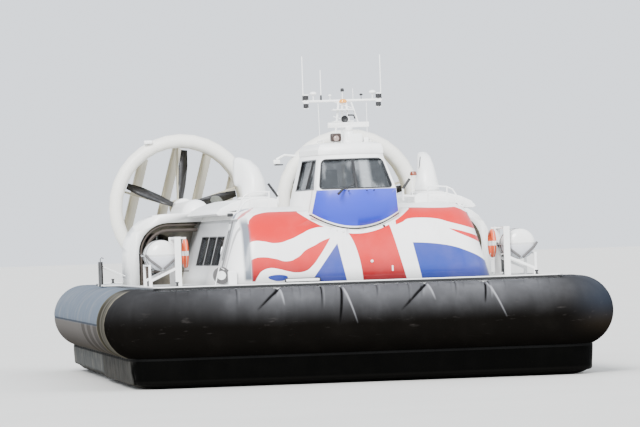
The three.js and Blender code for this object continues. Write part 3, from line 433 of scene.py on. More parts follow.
def flag_paint():
    """White gloss with the waving red, white and blue flag of the nose, its edges as curves over x and z."""
    paint = weathered("Nose flag paint", WHITE, 0.7)
    x, z = paint.x, paint.z
    soft = 0.006

    def over(edge):
        return (z - x.curve(FLAG[edge])).rise(-soft, soft)

    def stripe(name):
        return (1 - over(name + " top")) * over(name + " foot")

    def starboard_of(z0, x0, z1, x1):
        slope = (x1 - x0) / (z1 - z0)
        return (x - (z * slope + (x0 - z0 * slope))).fall(-soft, soft)

    middle = x - z.curve([(2.5, 0.09), (2.8, 0.06), (3.14, 0.0), (3.52, -0.12), (3.80, -0.29)])
    red = stripe("upper red") * x.between(-2.72, -0.60)
    red = red.most(stripe("lower red") * x.between(-2.70, -0.69))
    red = red.most(middle.rise(-soft, soft) * starboard_of(3.77, 0.87, 2.65, 1.16))
    red = red.most(stripe("thin red") * x.rise(2.34, 2.36))
    red = red.most(stripe("far red") * x.rise(1.0, 1.02))
    wedge = (1 - starboard_of(3.47, -0.52, 2.67, -1.12)) * starboard_of(3.47, -0.52, 2.65, -0.35)
    blue = wedge * z.fall(3.46, 3.47)
    blue = blue.most(stripe("small blue") * x.between(-2.30, -1.80))
    blue = blue.most((1 - over("great blue top")) * (1 - starboard_of(3.43, 1.39, 2.61, 1.56)))
    # Painted shade: the red darkens towards the bottom of the nose.
    paint.lay(red, paint.blend(z.rise(2.55, 3.25), SHADED_RED, RED))
    paint.lay(blue, BLUE)
    # A white border follows the chin panel, painted grey-blue shade darkens the starboard corner, and grey
    # marks its gasket.
    paint.lay(chin(x, z).between(-0.085, 0.25) * x.between(-1.42, 1.42), WHITE)
    corner = x.between(-2.88, -2.69, 0.045) * z.rise(2.56, 2.66) * z.fall(4.0, 4.25)
    paint.lay(corner * 0.95, (0.10, 0.12, 0.15))
    gasket = paint.y.between(-9.86, -9.76, 0.01) * x.fall(-2.9, -2.88) * z.rise(2.6, 2.7)
    paint.lay(gasket * 0.6, RUBBER_GREY)
    paint.lay(paint.noise(1.1, 4).rise(0.35, 0.8) * 0.05, (0.85, 0.55, 0.52))
    # Painted shade darkens the nose's foot towards the deck.
    paint.lay(z.fall(2.52, 2.85) * 0.18, (0.02, 0.02, 0.03))
    rough = 0.24 + paint.noise(2.0, 4) * 0.16
    waves = paint.noise(2.2, 3) * 0.8 + paint.noise(120, 2) * 0.05
    return paint.done(rough, waves, 0.25, 0.02, Coat_Weight=0.12, Specular_IOR_Level=0.35)


def wheelhouse_marks(paint):
    """Dark rubber round the panes, a blue chin panel with a white edge, and a dark joint below it, painted
    black as the shade in the gap under the chin.
    """
    x, y, z = paint.x, paint.y, paint.z
    wide = abs(x)
    front = y.fall(-9.38, -9.36)
    narrowing = (4.8 - z) * 0.157
    level = chin(x, z)
    face = front * (wide - (1.0 + narrowing)).fall(0.0, 0.008)
    paint.lay(face * level.rise(0.10, 0.108) * z.fall(4.800, 4.806), CHIN_BLUE)
    # Painted shade: a black band for the joint and the shadowed gap under the chin's white edge.
    paint.lay(front * level.between(0.022, 0.062), BLACK)
    seam = (wide - narrowing).between(1.045, 1.055) * front * level.rise(0.1, 0.11)
    paint.lay(seam * 0.6, GRIME)
    # Rubber round the windscreen: a leaning-sided frame with round corners, and its middle bar.
    beyond = (wide - (0.905 - (z - 4.845) * 0.224) + 0.09).most(0.0)
    above = (abs(z - 5.202) - 0.264).most(0.0)
    rubber = ((beyond * beyond + above * above) ** 0.5).fall(0.124, 0.130) * front
    middle = wide.fall(0.031, 0.034) * front * z.between(4.82, 5.58)
    # Rubber round the side panes, whose front edges lean with the windscreen.
    front_edge = (z - 4.845) * 0.867 - 9.98
    beside = wide.rise(0.80, 0.81) * z.between(4.813, 5.592) * y.fall(-7.726, -7.72)
    beside = beside * (y - front_edge).rise(-0.04, -0.034) * (1 - front * wide.fall(1.0, 1.01))
    dark = rubber.most(middle).most(beside)
    paint.lay(dark, BLACK)
    paint.lay(y.lines(1.42, 0.008, 0.4) * wide.rise(0.9, 0.91) * 0.3, GRIME)
    paint.height += dark * 1.5


def cabin_side_marks(paint):
    """Dark rubber round the side panes and the doorway, on panels greyed above 2.7 m by painted shade, with a
    painted shadow under the roof's edge.
    """
    y, z = paint.y, paint.z
    # Painted shade greys the wall above 2.7 m.
    paint.lay(z.rise(2.7, 3.2) * 0.7, (0.37, 0.37, 0.378))
    for low, high in ((-9.13, -9.06), (-9.36, -9.27)):
        paint.lay(y.between(low, high, 0.01) * 0.7, RUBBER_GREY)
    panes = z.between(2.985, 3.745, 0.003) * y.between(-7.93, -2.29, 0.003)
    panes = panes * (1 - ((y + 7.9) % 1.91).between(1.785, 1.885, 0.003))
    paint.lay(panes, BLACK)
    doorway = z.between(2.60, 4.10, 0.003) * y.between(-9.01, -8.13, 0.003)
    paint.lay(doorway * 0.8, (0.05, 0.05, 0.05))
    # Painted shadow: a dark band at the wall's top, under the roof's edge.
    paint.lay(z.rise(4.07, 4.10) * 0.7, (0.08, 0.08, 0.08))
    paint.lay(z.fall(2.55, 2.68) * 0.35, GRIME)
    paint.height += panes * 1.2 + doorway


def door_marks(paint):
    """A leaf greyed by painted shade, a dark gasket near its edges and round its pane, and dark ribs."""
    y, z = paint.y, paint.z
    rim = 1 - y.between(-8.958, -8.182) * z.between(2.66, 4.045)
    pane = y.between(-8.81, -8.33) * z.between(3.12, 3.90)
    ribs = y.lines(0.13, 0.012, 0.05) * (1 - pane)
    # Painted shade greys the whole leaf.
    paint.lay(0.4, (0.42, 0.42, 0.425))
    paint.lay(ribs * 0.4, (0.12, 0.13, 0.14))
    paint.lay(rim.most(pane) * 0.8, (0.06, 0.065, 0.07))
    paint.height += pane - ribs * 0.5


def bay_marks(paint):
    """A beige, oil-stained lining inside the arch."""
    y, z = paint.y, paint.z
    wide = abs(paint.x)
    out, up = wide - ARCH_X, z - ARCH_Z
    arc = (out * out + up * up) ** 0.5
    corner = out.rise(0, 0.01) * up.rise(0, 0.01) * arc.rise(0.815, 0.82)
    inside = wide.fall(4.665, 4.67) * z.fall(4.165, 4.17) * (1 - corner)
    inside = inside * y.rise(-0.995, -0.985) * y.fall(1.49, 1.495)
    stain = paint.noise(2.2, 5).rise(0.35, 0.7)
    paint.lay(inside, paint.blend(stain, (0.20, 0.175, 0.125), (0.055, 0.048, 0.036)))
    paint.height += inside * paint.noise(14, 4) * 0.6


def strake_gap_shade(paint):
    """Painted shadow: a near-black band at the strake's foot, for the gap between the strake and the skirt.
    """
    paint.lay(paint.z.fall(2.494, 2.500), (0.006, 0.006, 0.006))


def roof_marks(paint):
    """Two thin stripes that curve over the roof's starboard shoulder."""
    x, y = paint.x, paint.y
    pink = y - x.curve([(-2.95, -9.50), (-2.79, -9.45), (-2.68, -9.34), (-2.56, -9.17), (-2.42, -8.64)])
    paint.lay(pink.between(-0.09, 0.11, 0.02) * x.between(-2.94, -2.42) * 0.9, (0.55, 0.10, 0.11))
    paint.lay(y.between(-9.04, -8.62, 0.02) * x.between(-2.95, -2.56), (0.13, 0.17, 0.28))


def cream_paint(name="Cream paint", bands=False):
    """Satin cream paint with darker run marks. Bands add the ducts' paler lips and outsides, and rivets."""
    paint = Paint(name, CREAM)
    run = paint.noise(2.6, 5, (1.0, 1.0, 0.18)).rise(0.45, 0.8)
    paint.lay(run * 0.45, (0.33, 0.30, 0.22))
    if bands:
        wide, up = abs(paint.x) - DUCT_X, paint.z - DUCT_Z
        radius = (wide * wide + up * up) ** 0.5
        outer = paint.y.fall(9.10, 9.42).most(radius.rise(1.90, 1.93))
        paint.lay(outer * 0.88, (0.80, 0.79, 0.74))
        paint.lay(paint.y.lines(0.42, 0.006, 0.1) * 0.35, GRIME)
    rough = 0.36 + paint.noise(3, 4) * 0.2
    return paint.done(rough, paint.noise(90, 2) * 0.2 + run, 0.15, 0.004)


def bow_rubber(paint, dust):
    """Black rubber with a painted pale sheen at its top, painted highlights and shade along its folds, and a
    faint painted sheen at its port end.
    """
    x, z = paint.x, paint.z
    centre = abs(x - 0.5).fall(2.6, 5.4)
    # Painted sheen: pale towards the top of the bag, strongest mid-bow, streaked.
    pale_wash = (z + dust * 0.08).rise(1.46, 2.72) * (0.32 + centre * 0.68)
    streak = paint.noise(1.6, 4, (1.0, 1.0, 0.10)).rise(0.40, 0.85)
    fold = paint.add("Attribute", {"attribute_name": "fold"}, out="Fac")
    scuff = paint.noise(4.5, 4, (0.5, 1.0, 2.2)).rise(0.62, 0.78) * z.between(1.2, 1.9, 0.25)
    sheen = paint.blend(z.rise(1.15, 1.95), (0.046, 0.035, 0.024), (0.042, 0.056, 0.084))
    black = paint.blend(dust * 0.25, (0.0034, 0.0030, 0.0026), (0.0090, 0.0078, 0.0068))
    black = paint.blend(pale_wash * (0.62 + streak * 0.38), black, (0.150, 0.151, 0.160))
    # Painted highlights on the folds' ridges and facets, and painted shade in their valleys, from the fold
    # mark.
    black = paint.blend(fold.rise(0.05, 1.0) * 0.85, black, (0.27, 0.27, 0.285))
    black = paint.blend((fold * -1.0).rise(0.05, 0.7) * 0.92, black, (0.002, 0.002, 0.002))
    black = paint.blend(scuff * 0.16, black, (0.10, 0.09, 0.085))
    # Painted reflection: a faint sheen, bluish above and brown below, towards the port end.
    return paint.blend(x.rise(4.9, 6.3) * z.rise(0.8, 1.5) * 0.35, black, sheen)


def side_cloth(paint, dust):
    """Blue-grey coated fabric, brown-grey below its middle seam, where it sags and gathers, with painted
    shade in its valleys.
    """
    y, z = paint.y, paint.z
    low = z.fall(1.52, 1.60)
    # Painted shade: broad darker bands for the valleys where the fore part of the lower cloth sags.
    valleys = (1 - y.lines(2.2, 0.9, 1.02)) * low * y.fall(-1.4, -0.2)
    gathers = y.lines(0.80, 0.03) * low
    grey = paint.blend(dust, (0.120, 0.142, 0.175), (0.175, 0.186, 0.200))
    cloth = paint.blend(z.rise(0.75, 1.5), (0.066, 0.060, 0.055), (0.112, 0.104, 0.098))
    grey = paint.blend(low, grey, cloth)
    grey = paint.blend(valleys * 0.5, grey, (0.030, 0.027, 0.024))
    grey = paint.blend(gathers * 0.5, grey, (0.05, 0.047, 0.041))
    return paint.blend(z.between(1.555, 1.605, 0.010) * 0.75, grey, (0.03, 0.034, 0.042))


def bag_rubber():
    """Black rubber at the bow and grey coated fabric along the sides and stern, joined at the bow's corners
    by a worn khaki band with a pale rim."""
    paint = Paint("Bag rubber")
    x, y, z = paint.x, paint.y, paint.z
    edge = y + abs(z - 1.62) * 0.22
    ragged = edge + paint.noise(1.8, 4, (1, 1, 2.0)) * 0.30 - x.rise(-0.5, 0.5) * 1.1
    corner = abs(x).rise(5.72, 5.96)
    side = edge.rise(-7.44, -7.38)
    dust = paint.noise(1.4, 5).rise(0.42, 0.8)
    scratch = paint.noise(2.8, 4, (0.3, 1.2, 0.10)).rise(0.30, 0.75)
    khaki = paint.blend(scratch, (0.030, 0.027, 0.020), (0.094, 0.089, 0.076))
    khaki = paint.blend(z.rise(2.0, 2.4) * 0.5, khaki, (0.12, 0.115, 0.10))
    rim = ragged.between(-10.14, -9.90, 0.06) * corner * (z.rise(1.5, 2.2) * 0.7 + 0.3)
    welt = edge.between(-7.62, -7.40, 0.015)
    sand = z.fall(0.76, 1.05) * paint.noise(5, 5).rise(0.4, 0.7) * side
    paint.colour = bow_rubber(paint, dust)
    paint.lay(ragged.rise(-10.16, -10.06) * corner, khaki)
    paint.lay(rim * (0.45 + scratch * 0.45), (0.21, 0.19, 0.145))
    paint.lay(side, side_cloth(paint, dust))
    paint.lay(welt * 0.9, (0.085, 0.074, 0.036))
    paint.lay(sand * 0.25, (0.15, 0.12, 0.075))
    weave = paint.noise(420, 1) * 0.25 + paint.noise(26, 4) * 0.35
    rough = 0.40 + dust * 0.12 + side * 0.14 + z.rise(2.2, 2.4) * 0.3
    return paint.done(rough, weave + welt * 0.8, 0.22, 0.006, Specular_IOR_Level=0.0)


def finger_fabric():
    """Rubber-coated fabric of the fingers: black under the bow, darkened further by painted shade under the
    bag, grey and sandy along the sides.
    """
    paint = Paint("Finger fabric")
    y, z = paint.y, paint.z
    bow = (y + paint.noise(6.0, 3, (1, 1, 0.2)) * 0.5).fall(-10.50, -10.36)
    scuff = paint.noise(2.4, 5).rise(0.38, 0.75)
    wet = (z + paint.noise(1.5, 3) * 0.15).fall(0.10, 0.30)
    # Painted shade: the bow's black is darker than the bag's rubber, for the shade under the bag.
    black = paint.blend(scuff * 0.3, (0.0008, 0.0008, 0.0007), (0.0018, 0.0017, 0.0015))
    black = paint.blend(z.between(0.05, 0.20, 0.02) * 0.6, black, (0.003, 0.0028, 0.0025))
    grey = paint.blend(scuff, (0.070, 0.072, 0.070), (0.115, 0.110, 0.100))
    grey = paint.blend(y.fall(-1.3, -1.15) * 0.7, grey, (0.026, 0.024, 0.021))
    paint.colour = paint.blend(bow, grey, black)
    paint.lay(wet * 0.45 * (1 - bow), (0.04, 0.034, 0.027))
    paint.lay(z.between(0.70, 0.76) * 0.8, (0.006, 0.006, 0.006))
    weave = paint.noise(300, 1) * 0.3 + paint.noise(9, 4, (1, 1, 0.3))
    return paint.done(0.78 - wet * 0.25, weave, 0.3, 0.012, Specular_IOR_Level=0.02)


def plain(name, colour, rough, metal=0.0, worn=None, grain=60.0, coat=0.0, strength=0.2):
    """One colour with cloudy wear, fine grain and uneven gloss."""
    paint = Paint(name, colour)
    wear = paint.noise(4.0, 5).rise(0.45, 0.8)
    paint.lay(wear * 0.5, worn or tuple(c * 0.6 + 0.02 for c in colour))
    height = paint.noise(grain, 3)
    return paint.done(rough + wear * 0.14, height, strength, 0.003, Metallic=metal, Coat_Weight=coat)


def glass_finish():
    """Grey tinted pane, half see-through, with salt marks, pale sun blinds behind the wheelhouse panes and a
    painted reflection, an upright pale band right of the windscreen's middle bar.
    """
    paint = Paint("Tinted glass", (0.045, 0.05, 0.055))
    pale_wash = paint.noise(7, 5).rise(0.5, 0.85)
    blind = paint.noise(2.1, 3, (1.0, 0.2, 0.45)).rise(0.50, 0.62)
    # Painted reflection: an upright pale band on the windscreen, right of its middle bar.
    band = paint.x.between(0.14, 0.40, 0.07)
    paint.lay(pale_wash * 0.3, (0.22, 0.24, 0.25))
    paint.lay((blind * 0.35).most(band * 0.75) * paint.z.rise(4.7, 4.8), (0.50, 0.53, 0.55))
    return paint.done(0.05 + pale_wash * 0.15, Alpha=0.55 + pale_wash * 0.2)


def deck_finish():
    """Hull sides white, and a deck with a light grey non-slip coat worn along the walkways."""
    paint = weathered("Deck and hull paint", WHITE)
    up = paint.parts(paint.add("NewGeometry", out="Normal"))[2].rise(0.7, 0.9)
    scuff = paint.noise(1.6, 5).rise(0.4, 0.75)
    paint.lay(up, paint.blend(scuff, (0.50, 0.51, 0.50), (0.34, 0.34, 0.32)))
    return paint.done(0.45 + up * 0.25, paint.noise(220, 2) * up, 0.4, 0.004)


def buoy_finish():
    """Orange lifebuoy cover with four white bands."""
    paint = Paint("Lifebuoy cover", (0.83, 0.105, 0.025))
    paint.lay(paint.noise(12, 4).rise(0.5, 0.8) * 0.4, (0.55, 0.10, 0.04))
    upright = abs(paint.y - BUOY_AT[1]).fall(0.055, 0.062)
    level = abs(paint.z - BUOY_AT[2]).fall(0.055, 0.062)
    paint.lay(upright.most(level), (0.82, 0.82, 0.80))
    return paint.done(0.45, paint.noise(90, 3), 0.2, 0.002)


def gangway_finish():
    """Black plate with scuffs, on white stays."""
    paint = weathered("Gangway finish", WHITE, 0.6)
    scuff = paint.noise(6, 5).rise(0.45, 0.75)
    plate = paint.blend(scuff * 0.5, (0.010, 0.009, 0.009), (0.035, 0.030, 0.028))
    paint.lay(abs(paint.x).rise(5.500, 5.505), plate)
    return paint.done(0.42 + scuff * 0.2, paint.noise(80, 3), 0.2, 0.003, Specular_IOR_Level=0.08)


def mast_finish():
    """White mast with black lamp housings at the ends of its yard."""
    paint = weathered("Mast paint", WHITE, 0.6)
    lamp = paint.z.between(6.925, 7.035, 0.002).most(paint.z.between(7.13, 7.24, 0.002))
    paint.lay(lamp * abs(paint.x).rise(0.866, 0.868), BLACK)
    return paint.done(0.30 + paint.noise(3, 4) * 0.15, paint.noise(120, 2), 0.12, 0.002)


def raft_finish():
    """White moulded canister: a dark joint at the flange and painted blue-grey shade below it."""
    paint = weathered("Raft canister", (0.83, 0.83, 0.81), 0.6)
    # Painted shade: blue-grey below the flange.
    paint.lay(paint.z.fall(3.22, 3.34) * 0.55, (0.42, 0.44, 0.52))
    joint = paint.z.between(3.283, 3.289, 0.002).most(paint.z.between(3.311, 3.317, 0.002))
    paint.lay(joint, (0.10, 0.10, 0.10))
    return paint.done(0.30, paint.noise(70, 3), 0.12, 0.004, Coat_Weight=0.3)


MAKERS = {
    "white": lambda: white_paint(seam=1.6),
    "plain white": lambda: white_paint("Fittings white", 0.6),
    "flag": flag_paint,
    "wheelhouse": lambda: white_paint("Wheelhouse paint", 0.6, None, wheelhouse_marks),
    "cabin side": lambda: white_paint("Cabin side paint", 1.0, 1.45, cabin_side_marks),
    "door": lambda: white_paint("Door paint", 0.8, None, door_marks),
    "bay": lambda: white_paint("Fan bay paint", 1.1, 0.83, bay_marks),
    "strake": lambda: white_paint("Strake paint", 0.6, None, strake_gap_shade),
    "roof": lambda: white_paint("Roof paint", 1.0, 1.6, roof_marks),
    "duct": lambda: cream_paint("Duct paint", True),
    "cream": cream_paint,
    "bag": bag_rubber,
    "fingers": finger_fabric,
    "glass": glass_finish,
    "deck": deck_finish,
    "buoy": buoy_finish,
    "raft": raft_finish,
    "gangway": gangway_finish,
    "mast": mast_finish,
    "black": lambda: plain("Black rubber", BLACK, 0.5),
    "grey": lambda: plain("Grey paint", (0.28, 0.29, 0.29), 0.45),
    "brown": lambda: plain("Lamp housing", (0.026, 0.012, 0.008), 0.4),
    "dark amber": lambda: plain("Dark amber lens", (0.20, 0.045, 0.022), 0.3, coat=0.3),
    "amber": lambda: plain("Amber lens", (0.85, 0.33, 0.01), 0.12, coat=0.6),
    "lens": lambda: plain("Lamp lens", (0.30, 0.22, 0.19), 0.15, coat=0.5),
    "metal": lambda: plain("Bare aluminium", (0.55, 0.56, 0.57), 0.32, 0.9, (0.35, 0.35, 0.34), 40),
    "blade": lambda: plain("Blade coat", (0.022, 0.022, 0.024), 0.38, worn=(0.09, 0.09, 0.09)),
    "machine": lambda: plain("Machinery green", (0.10, 0.105, 0.085), 0.5, worn=(0.05, 0.045, 0.035)),
    "umber": lambda: plain("Umber paint", (0.040, 0.030, 0.024), 0.7, worn=(0.085, 0.072, 0.056)),
    "helm": lambda: plain("Helm covers", (0.05, 0.052, 0.056), 0.6),
    "rope": lambda: plain("White rope", (0.62, 0.60, 0.52), 0.8, grain=300, strength=0.8),
    "web": lambda: plain("Grey webbing", (0.12, 0.115, 0.115), 0.85, grain=260, strength=0.7),
}


@functools.cache
def finish(name):
    """The finish of a name, made the first time that it is asked for."""
    return MAKERS[name]()


# Sizes and colours that a user may change.
def length(name, description, default):
    """A size in metres that a user may change."""
    return FloatProperty(name=name, description=description, default=default, unit="LENGTH")


class SkirtSettings(bpy.types.PropertyGroup):
    """The inflated bag round the hull and the fingers under it."""

    finger_pitch: length("Finger pitch", "Width of one finger", 0.76)
    finger_bulge: length("Finger bulge", "How far a finger stands out of its folds", 0.085)
    crease_depth: length("Crease depth", "Depth of the creases in the bow bag", 0.050)
    gather_pitch: length("Gather pitch", "Spacing of the seams in the side bag's lower half", 0.8)


class FittingSettings(bpy.types.PropertyGroup):
    """Deck gear and small fittings."""

    rail_radius: length("Rail radius", "Half the thickness of a handrail", 0.019)
    rope_radius: length("Grab line radius", "Half the thickness of a lifebuoy's grab line", 0.006)
    louvre_slats: IntProperty(name="Louvre slats", description="Slats in each engine-room louvre", default=11)


class StageSettings(bpy.types.PropertyGroup):
    """Floor, light and camera."""

    floor_colour: FloatVectorProperty(
        name="Floor", description="Colour of the floor", default=(0.62, 0.61, 0.58), subtype="COLOR"
    )
    key_strength: FloatProperty(name="Key light", description="Strength of the main light", default=6.3)
    lens: FloatProperty(name="Lens", description="Focal length of the camera in millimetres", default=270.675)


# The plan of the skirt: half beams at bow and stern, half length and corner radius of the deck's edge.
BEAM_BOW, BEAM_STERN, HALF_LENGTH, CORNER = 5.12, 4.85, 10.55, 0.30
# The bag's section: how far out of the deck's edge and how high its centre is, its radius, the angle at
# which it starts under the strake, and how far out its lower seam lies.
BAG_OUT, BAG_Z, BAG_RADIUS, BAG_TOP, BAG_SEAM_OUT = 0.42, 1.585, 0.89, 114.0, 0.78
BAG_SEAM_Z = BAG_Z - math.sqrt(BAG_RADIUS**2 - (BAG_SEAM_OUT - BAG_OUT) ** 2)
# Distances out of the deck's edge at which bag and fingers are divided evenly.
BAG_REACH, FINGER_REACH = 0.9, 0.75
BAG_ROWS, BAG_COLUMNS, FINGER_COLUMNS = 70, 1200, 10
# The bow's rubber ends and the sides' cloth starts at the joint, and a seam runs round the sides' middle.
BOW_END_Y, CLOTH_Y, JOINT_Y, SIDE_SEAM_Z = -10.9, -7.53, -7.44, 1.59
# Height from which folds and tucks hang.
FOLD_Z = 2.47
# Folds of the bow bag: x at the top, foot of the dark valley and foot of the bright ridge in x and z.
FOLDS = (
    (-2.13, (-2.74, 1.90), (-2.07, 2.00)),
    (-0.58, (-0.72, 1.50), (-0.28, 1.50)),
    (1.56, (0.84, 1.78), (1.70, 2.00)),
    (3.04, (2.94, 1.90), (3.46, 1.52)),
)
# Tucks under the deck's edge: x, height of the foot and strength.
TUCKS = [
    (x + 0.13 * math.sin(5.1 * k), 2.20 - 0.10 * math.sin(3.7 * k), 0.35)
    for k, x in enumerate(np.arange(-4.7, 4.8, 0.43))
]
TUCKS += [(-1.09, 1.85, 0.9), (1.10, 1.98, 0.5), (2.28, 2.05, 0.6), (3.12, 2.0, 0.7), (-3.2, 1.95, 0.6)]
TUCKS += [(-1.62, 2.0, 0.4), (0.30, 2.02, 0.4)]
# A finger's section from its seam down, under and up again: out, z, and its shares of fold, wave and lift.
FINGER = np.array([
    (0.765, BAG_SEAM_Z - 0.002, 0.5, 0.0, 0.0),
    (0.775, 0.70, 0.9, 0.2, 0.0),
    (0.772, 0.60, 1.0, 0.5, 0.0),
    (0.765, 0.45, 1.05, 0.8, 0.2),
    (0.755, 0.30, 1.1, 1.0, 0.7),
    (0.750, 0.16, 1.15, 1.0, 1.0),
    (0.735, 0.12, 1.1, 1.0, 1.0),
    (0.62, 0.090, 1.0, 1.0, 0.8),
    (0.50, 0.040, 0.9, 0.6, 0.3),
    (0.34, 0.002, 0.6, 0.0, 0.0),
    (-0.15, 0.002, 0.0, 0.0, 0.0),
    (-0.27, 0.40, 0.0, 0.0, 0.0),
    (-0.27, BAG_SEAM_Z - 0.002, 0.0, 0.0, 0.0),
])


def plan(columns, out, dense=0.0):
    """Places on the deck's edge, their outward directions, how far along each is, and the whole way round.

    The edge is four arcs of one radius joined by straight lines. Places are evenly spaced as seen at a
    distance outside it, and the bow's line has 1 + dense times as many.
    """
    # Side across, side along, half beam and the angle at which the corner's arc starts.
    corners = (
        (-1, -1, BEAM_BOW, 180),
        (1, -1, BEAM_BOW, 270),
        (1, 1, BEAM_STERN, 0),
        (-1, 1, BEAM_STERN, 90),
    )
    places, ways = [], []
    for sx, sy, beam, start in corners:
        a = np.radians(start + np.linspace(0, 90, 60))
        way = np.stack([np.cos(a), np.sin(a)], -1)
        places.append(np.array([sx * (beam - CORNER), sy * (HALF_LENGTH - CORNER)]) + CORNER * way)
        ways.append(way)
    P, N = np.concatenate([*places, places[0][:1]]), np.concatenate([*ways, ways[0][:1]])
    gaps = np.linalg.norm(np.diff(P + out * N, axis=0), axis=1)
    s = np.concatenate([[0], np.cumsum(gaps)])
    ahead = np.maximum(P[1:, 1], P[:-1, 1]) < 0.001 - HALF_LENGTH
    weight = np.concatenate([[0], np.cumsum(gaps * (1 + dense * ahead))])
    at = np.interp(np.linspace(0, weight[-1], columns, endpoint=False), weight, s)
    P = np.stack([np.interp(at, s, P[:, k]) for k in (0, 1)], -1)
    N = np.stack([np.interp(at, s, N[:, k]) for k in (0, 1)], -1)
    return P, N / np.linalg.norm(N, axis=1)[:, None], at, s[-1]


def ring_on(P, N, out, z):
    """Points at distances out of the plan and heights, rows by columns."""
    out, z = np.broadcast_arrays(out, z)
    return np.concatenate([P[None] + out[..., None] * N[None], z[..., None]], -1)


def eased(t):
    """An even step from 0 to 1 as a number passes 0: 1 / (1 + exp(-t))."""
    return 1 / (1 + np.exp(-t))


def beside(X, Z, a, b):
    """Distance from the line through two points, above 0 to its right as it runs down."""
    d = np.array(b) - np.array(a)
    return -((X - a[0]) * d[1] - (Z - a[1]) * d[0]) / np.hypot(*d)


def near_line(X, Z, a, b, width):
    """A bell curve of the distance from a line between two points, exp(-(distance / width) squared), that
    fades towards the second."""
    d = np.array(b) - np.array(a)
    t = np.clip(((X - a[0]) * d[0] + (Z - a[1]) * d[1]) / (d @ d), 0, 1)
    gap = np.hypot(X - a[0] - t * d[0], Z - a[1] - t * d[1])
    return np.exp(-((gap / width) ** 2)) * (1 - t * t * 0.75)


def bow_folds(X, z, depth):
    """Depth, and painted highlights and shade, of the bow bag's folds and tucks, as sums of bell curves about
    their lines.
    """
    dent, shade = np.zeros_like(z), np.zeros_like(z)
    for x, left, right in FOLDS:
        apex = (x, FOLD_Z)
        valley, ridge = near_line(X, z, apex, left, 0.030), near_line(X, z, apex, right, 0.024)
        inside = eased(beside(X, z, apex, left) / 0.012) * eased(-beside(X, z, apex, right) / 0.012)
        facet = inside * np.clip(1 - (FOLD_Z - z) / 0.55, 0, 1)
        dent += depth * (valley - 0.35 * ridge + 0.25 * near_line(X, z, apex, left, 0.12))
        shade += 0.95 * ridge + 0.62 * facet - 1.35 * valley
    for x, foot, share in TUCKS:
        trough = near_line(X, z, (x, FOLD_Z), (x - 0.06, foot), 0.026)
        crest = near_line(X, z, (x + 0.055, FOLD_Z), (x - 0.005, foot), 0.028)
        dent += 0.03 * share * trough
        shade += share * (0.45 * crest - 0.8 * trough)
    return dent, shade


class HOVER_OT_bag(bpy.types.Operator):
    """The inflated bag: an arc carried round the plan, with folds, gathers and seams taken off its radius."""

    bl_idname = "hover.bag"
    bl_label = "Skirt bag"

    def execute(self, context):
        use = context.scene.hover_skirt
        P, N, s, _ = plan(BAG_COLUMNS, BAG_REACH, 3.0)
        end = math.degrees(math.acos((BAG_SEAM_OUT - BAG_OUT) / BAG_RADIUS))
        angle = np.radians(np.linspace(BAG_TOP, -end, BAG_ROWS))[:, None]
        out = BAG_OUT + BAG_RADIUS * np.cos(angle) + 0 * s[None]
        z = BAG_Z + BAG_RADIUS * np.sin(angle) + 0 * s[None]
        X, Y = (P + BAG_REACH * N).T[:, None] + 0 * out
        bow = (Y < BOW_END_Y).astype(float)
        dent, shade = bow_folds(X, z, use.crease_depth)
        dent, shade = dent * bow, shade * bow

        # The lower half of the sides and stern: gathers between seams, small pleats and the seams themselves.
        side = eased((Y - CLOTH_Y) * 12)
        low = eased((SIDE_SEAM_Z - 0.02 - z) * 40)
        share = (Y / use.gather_pitch) % 1
        gather = 0.030 * (1 - np.sqrt(np.clip(1 - (2 * share - 1) ** 2, 0, 1)))
        pleat = 0.006 * np.cos(TAU * Y / (use.gather_pitch / 3))
        dent += side * low * (gather + pleat) * np.clip((z - BAG_SEAM_Z) / 0.25, 0, 1)
        dent += 0.012 * np.exp(-(((z - SIDE_SEAM_Z) / 0.025) ** 2)) * side
        dent += 0.010 * np.exp(-(((Y - JOINT_Y) / 0.06) ** 2))
        hoop = np.cos(TAU * s / 2.9)[None] * 0.010 + np.cos(TAU * s / 1.31 + 1.0)[None] * 0.004
        dent -= hoop * 0.5

        # Both ends of the arc stay in place, and the crown sinks a little at the bow.
        for from_end in (angle - angle.min(), angle.max() - angle):
            dent *= np.sin(np.clip(from_end / 0.35, 0, 1) * math.pi / 2)
        sunk = 0.052 * bow * np.clip((np.degrees(angle) - 45) / 35, 0, 1)
        out, z = out - dent * np.cos(angle), z - dent * np.sin(angle) - sunk
        inner = [(-0.10, BAG_SEAM_Z), (-0.10, 1.25), (0.004, 1.50), (0.004, BAG_Z + BAG_RADIUS - 0.12)]
        inner = np.array(inner)[:, :, None] + 0 * s
        out, z = np.concatenate([out, inner[:, 0]]), np.concatenate([z, inner[:, 1]])
        # The fold mark carries the painted highlights and shade of the bow's folds and tucks.
        marks = {"fold": np.concatenate([shade, 0 * inner[:, 0]])}
        bag = Form().grid(ring_on(P, N, out, z), True, True)
        bag = bag.piece("inflated_bag", "craft", "skirt_rubber", ["bag"], 50, ("skirt_bag",), marks)
        return {"FINISHED"}


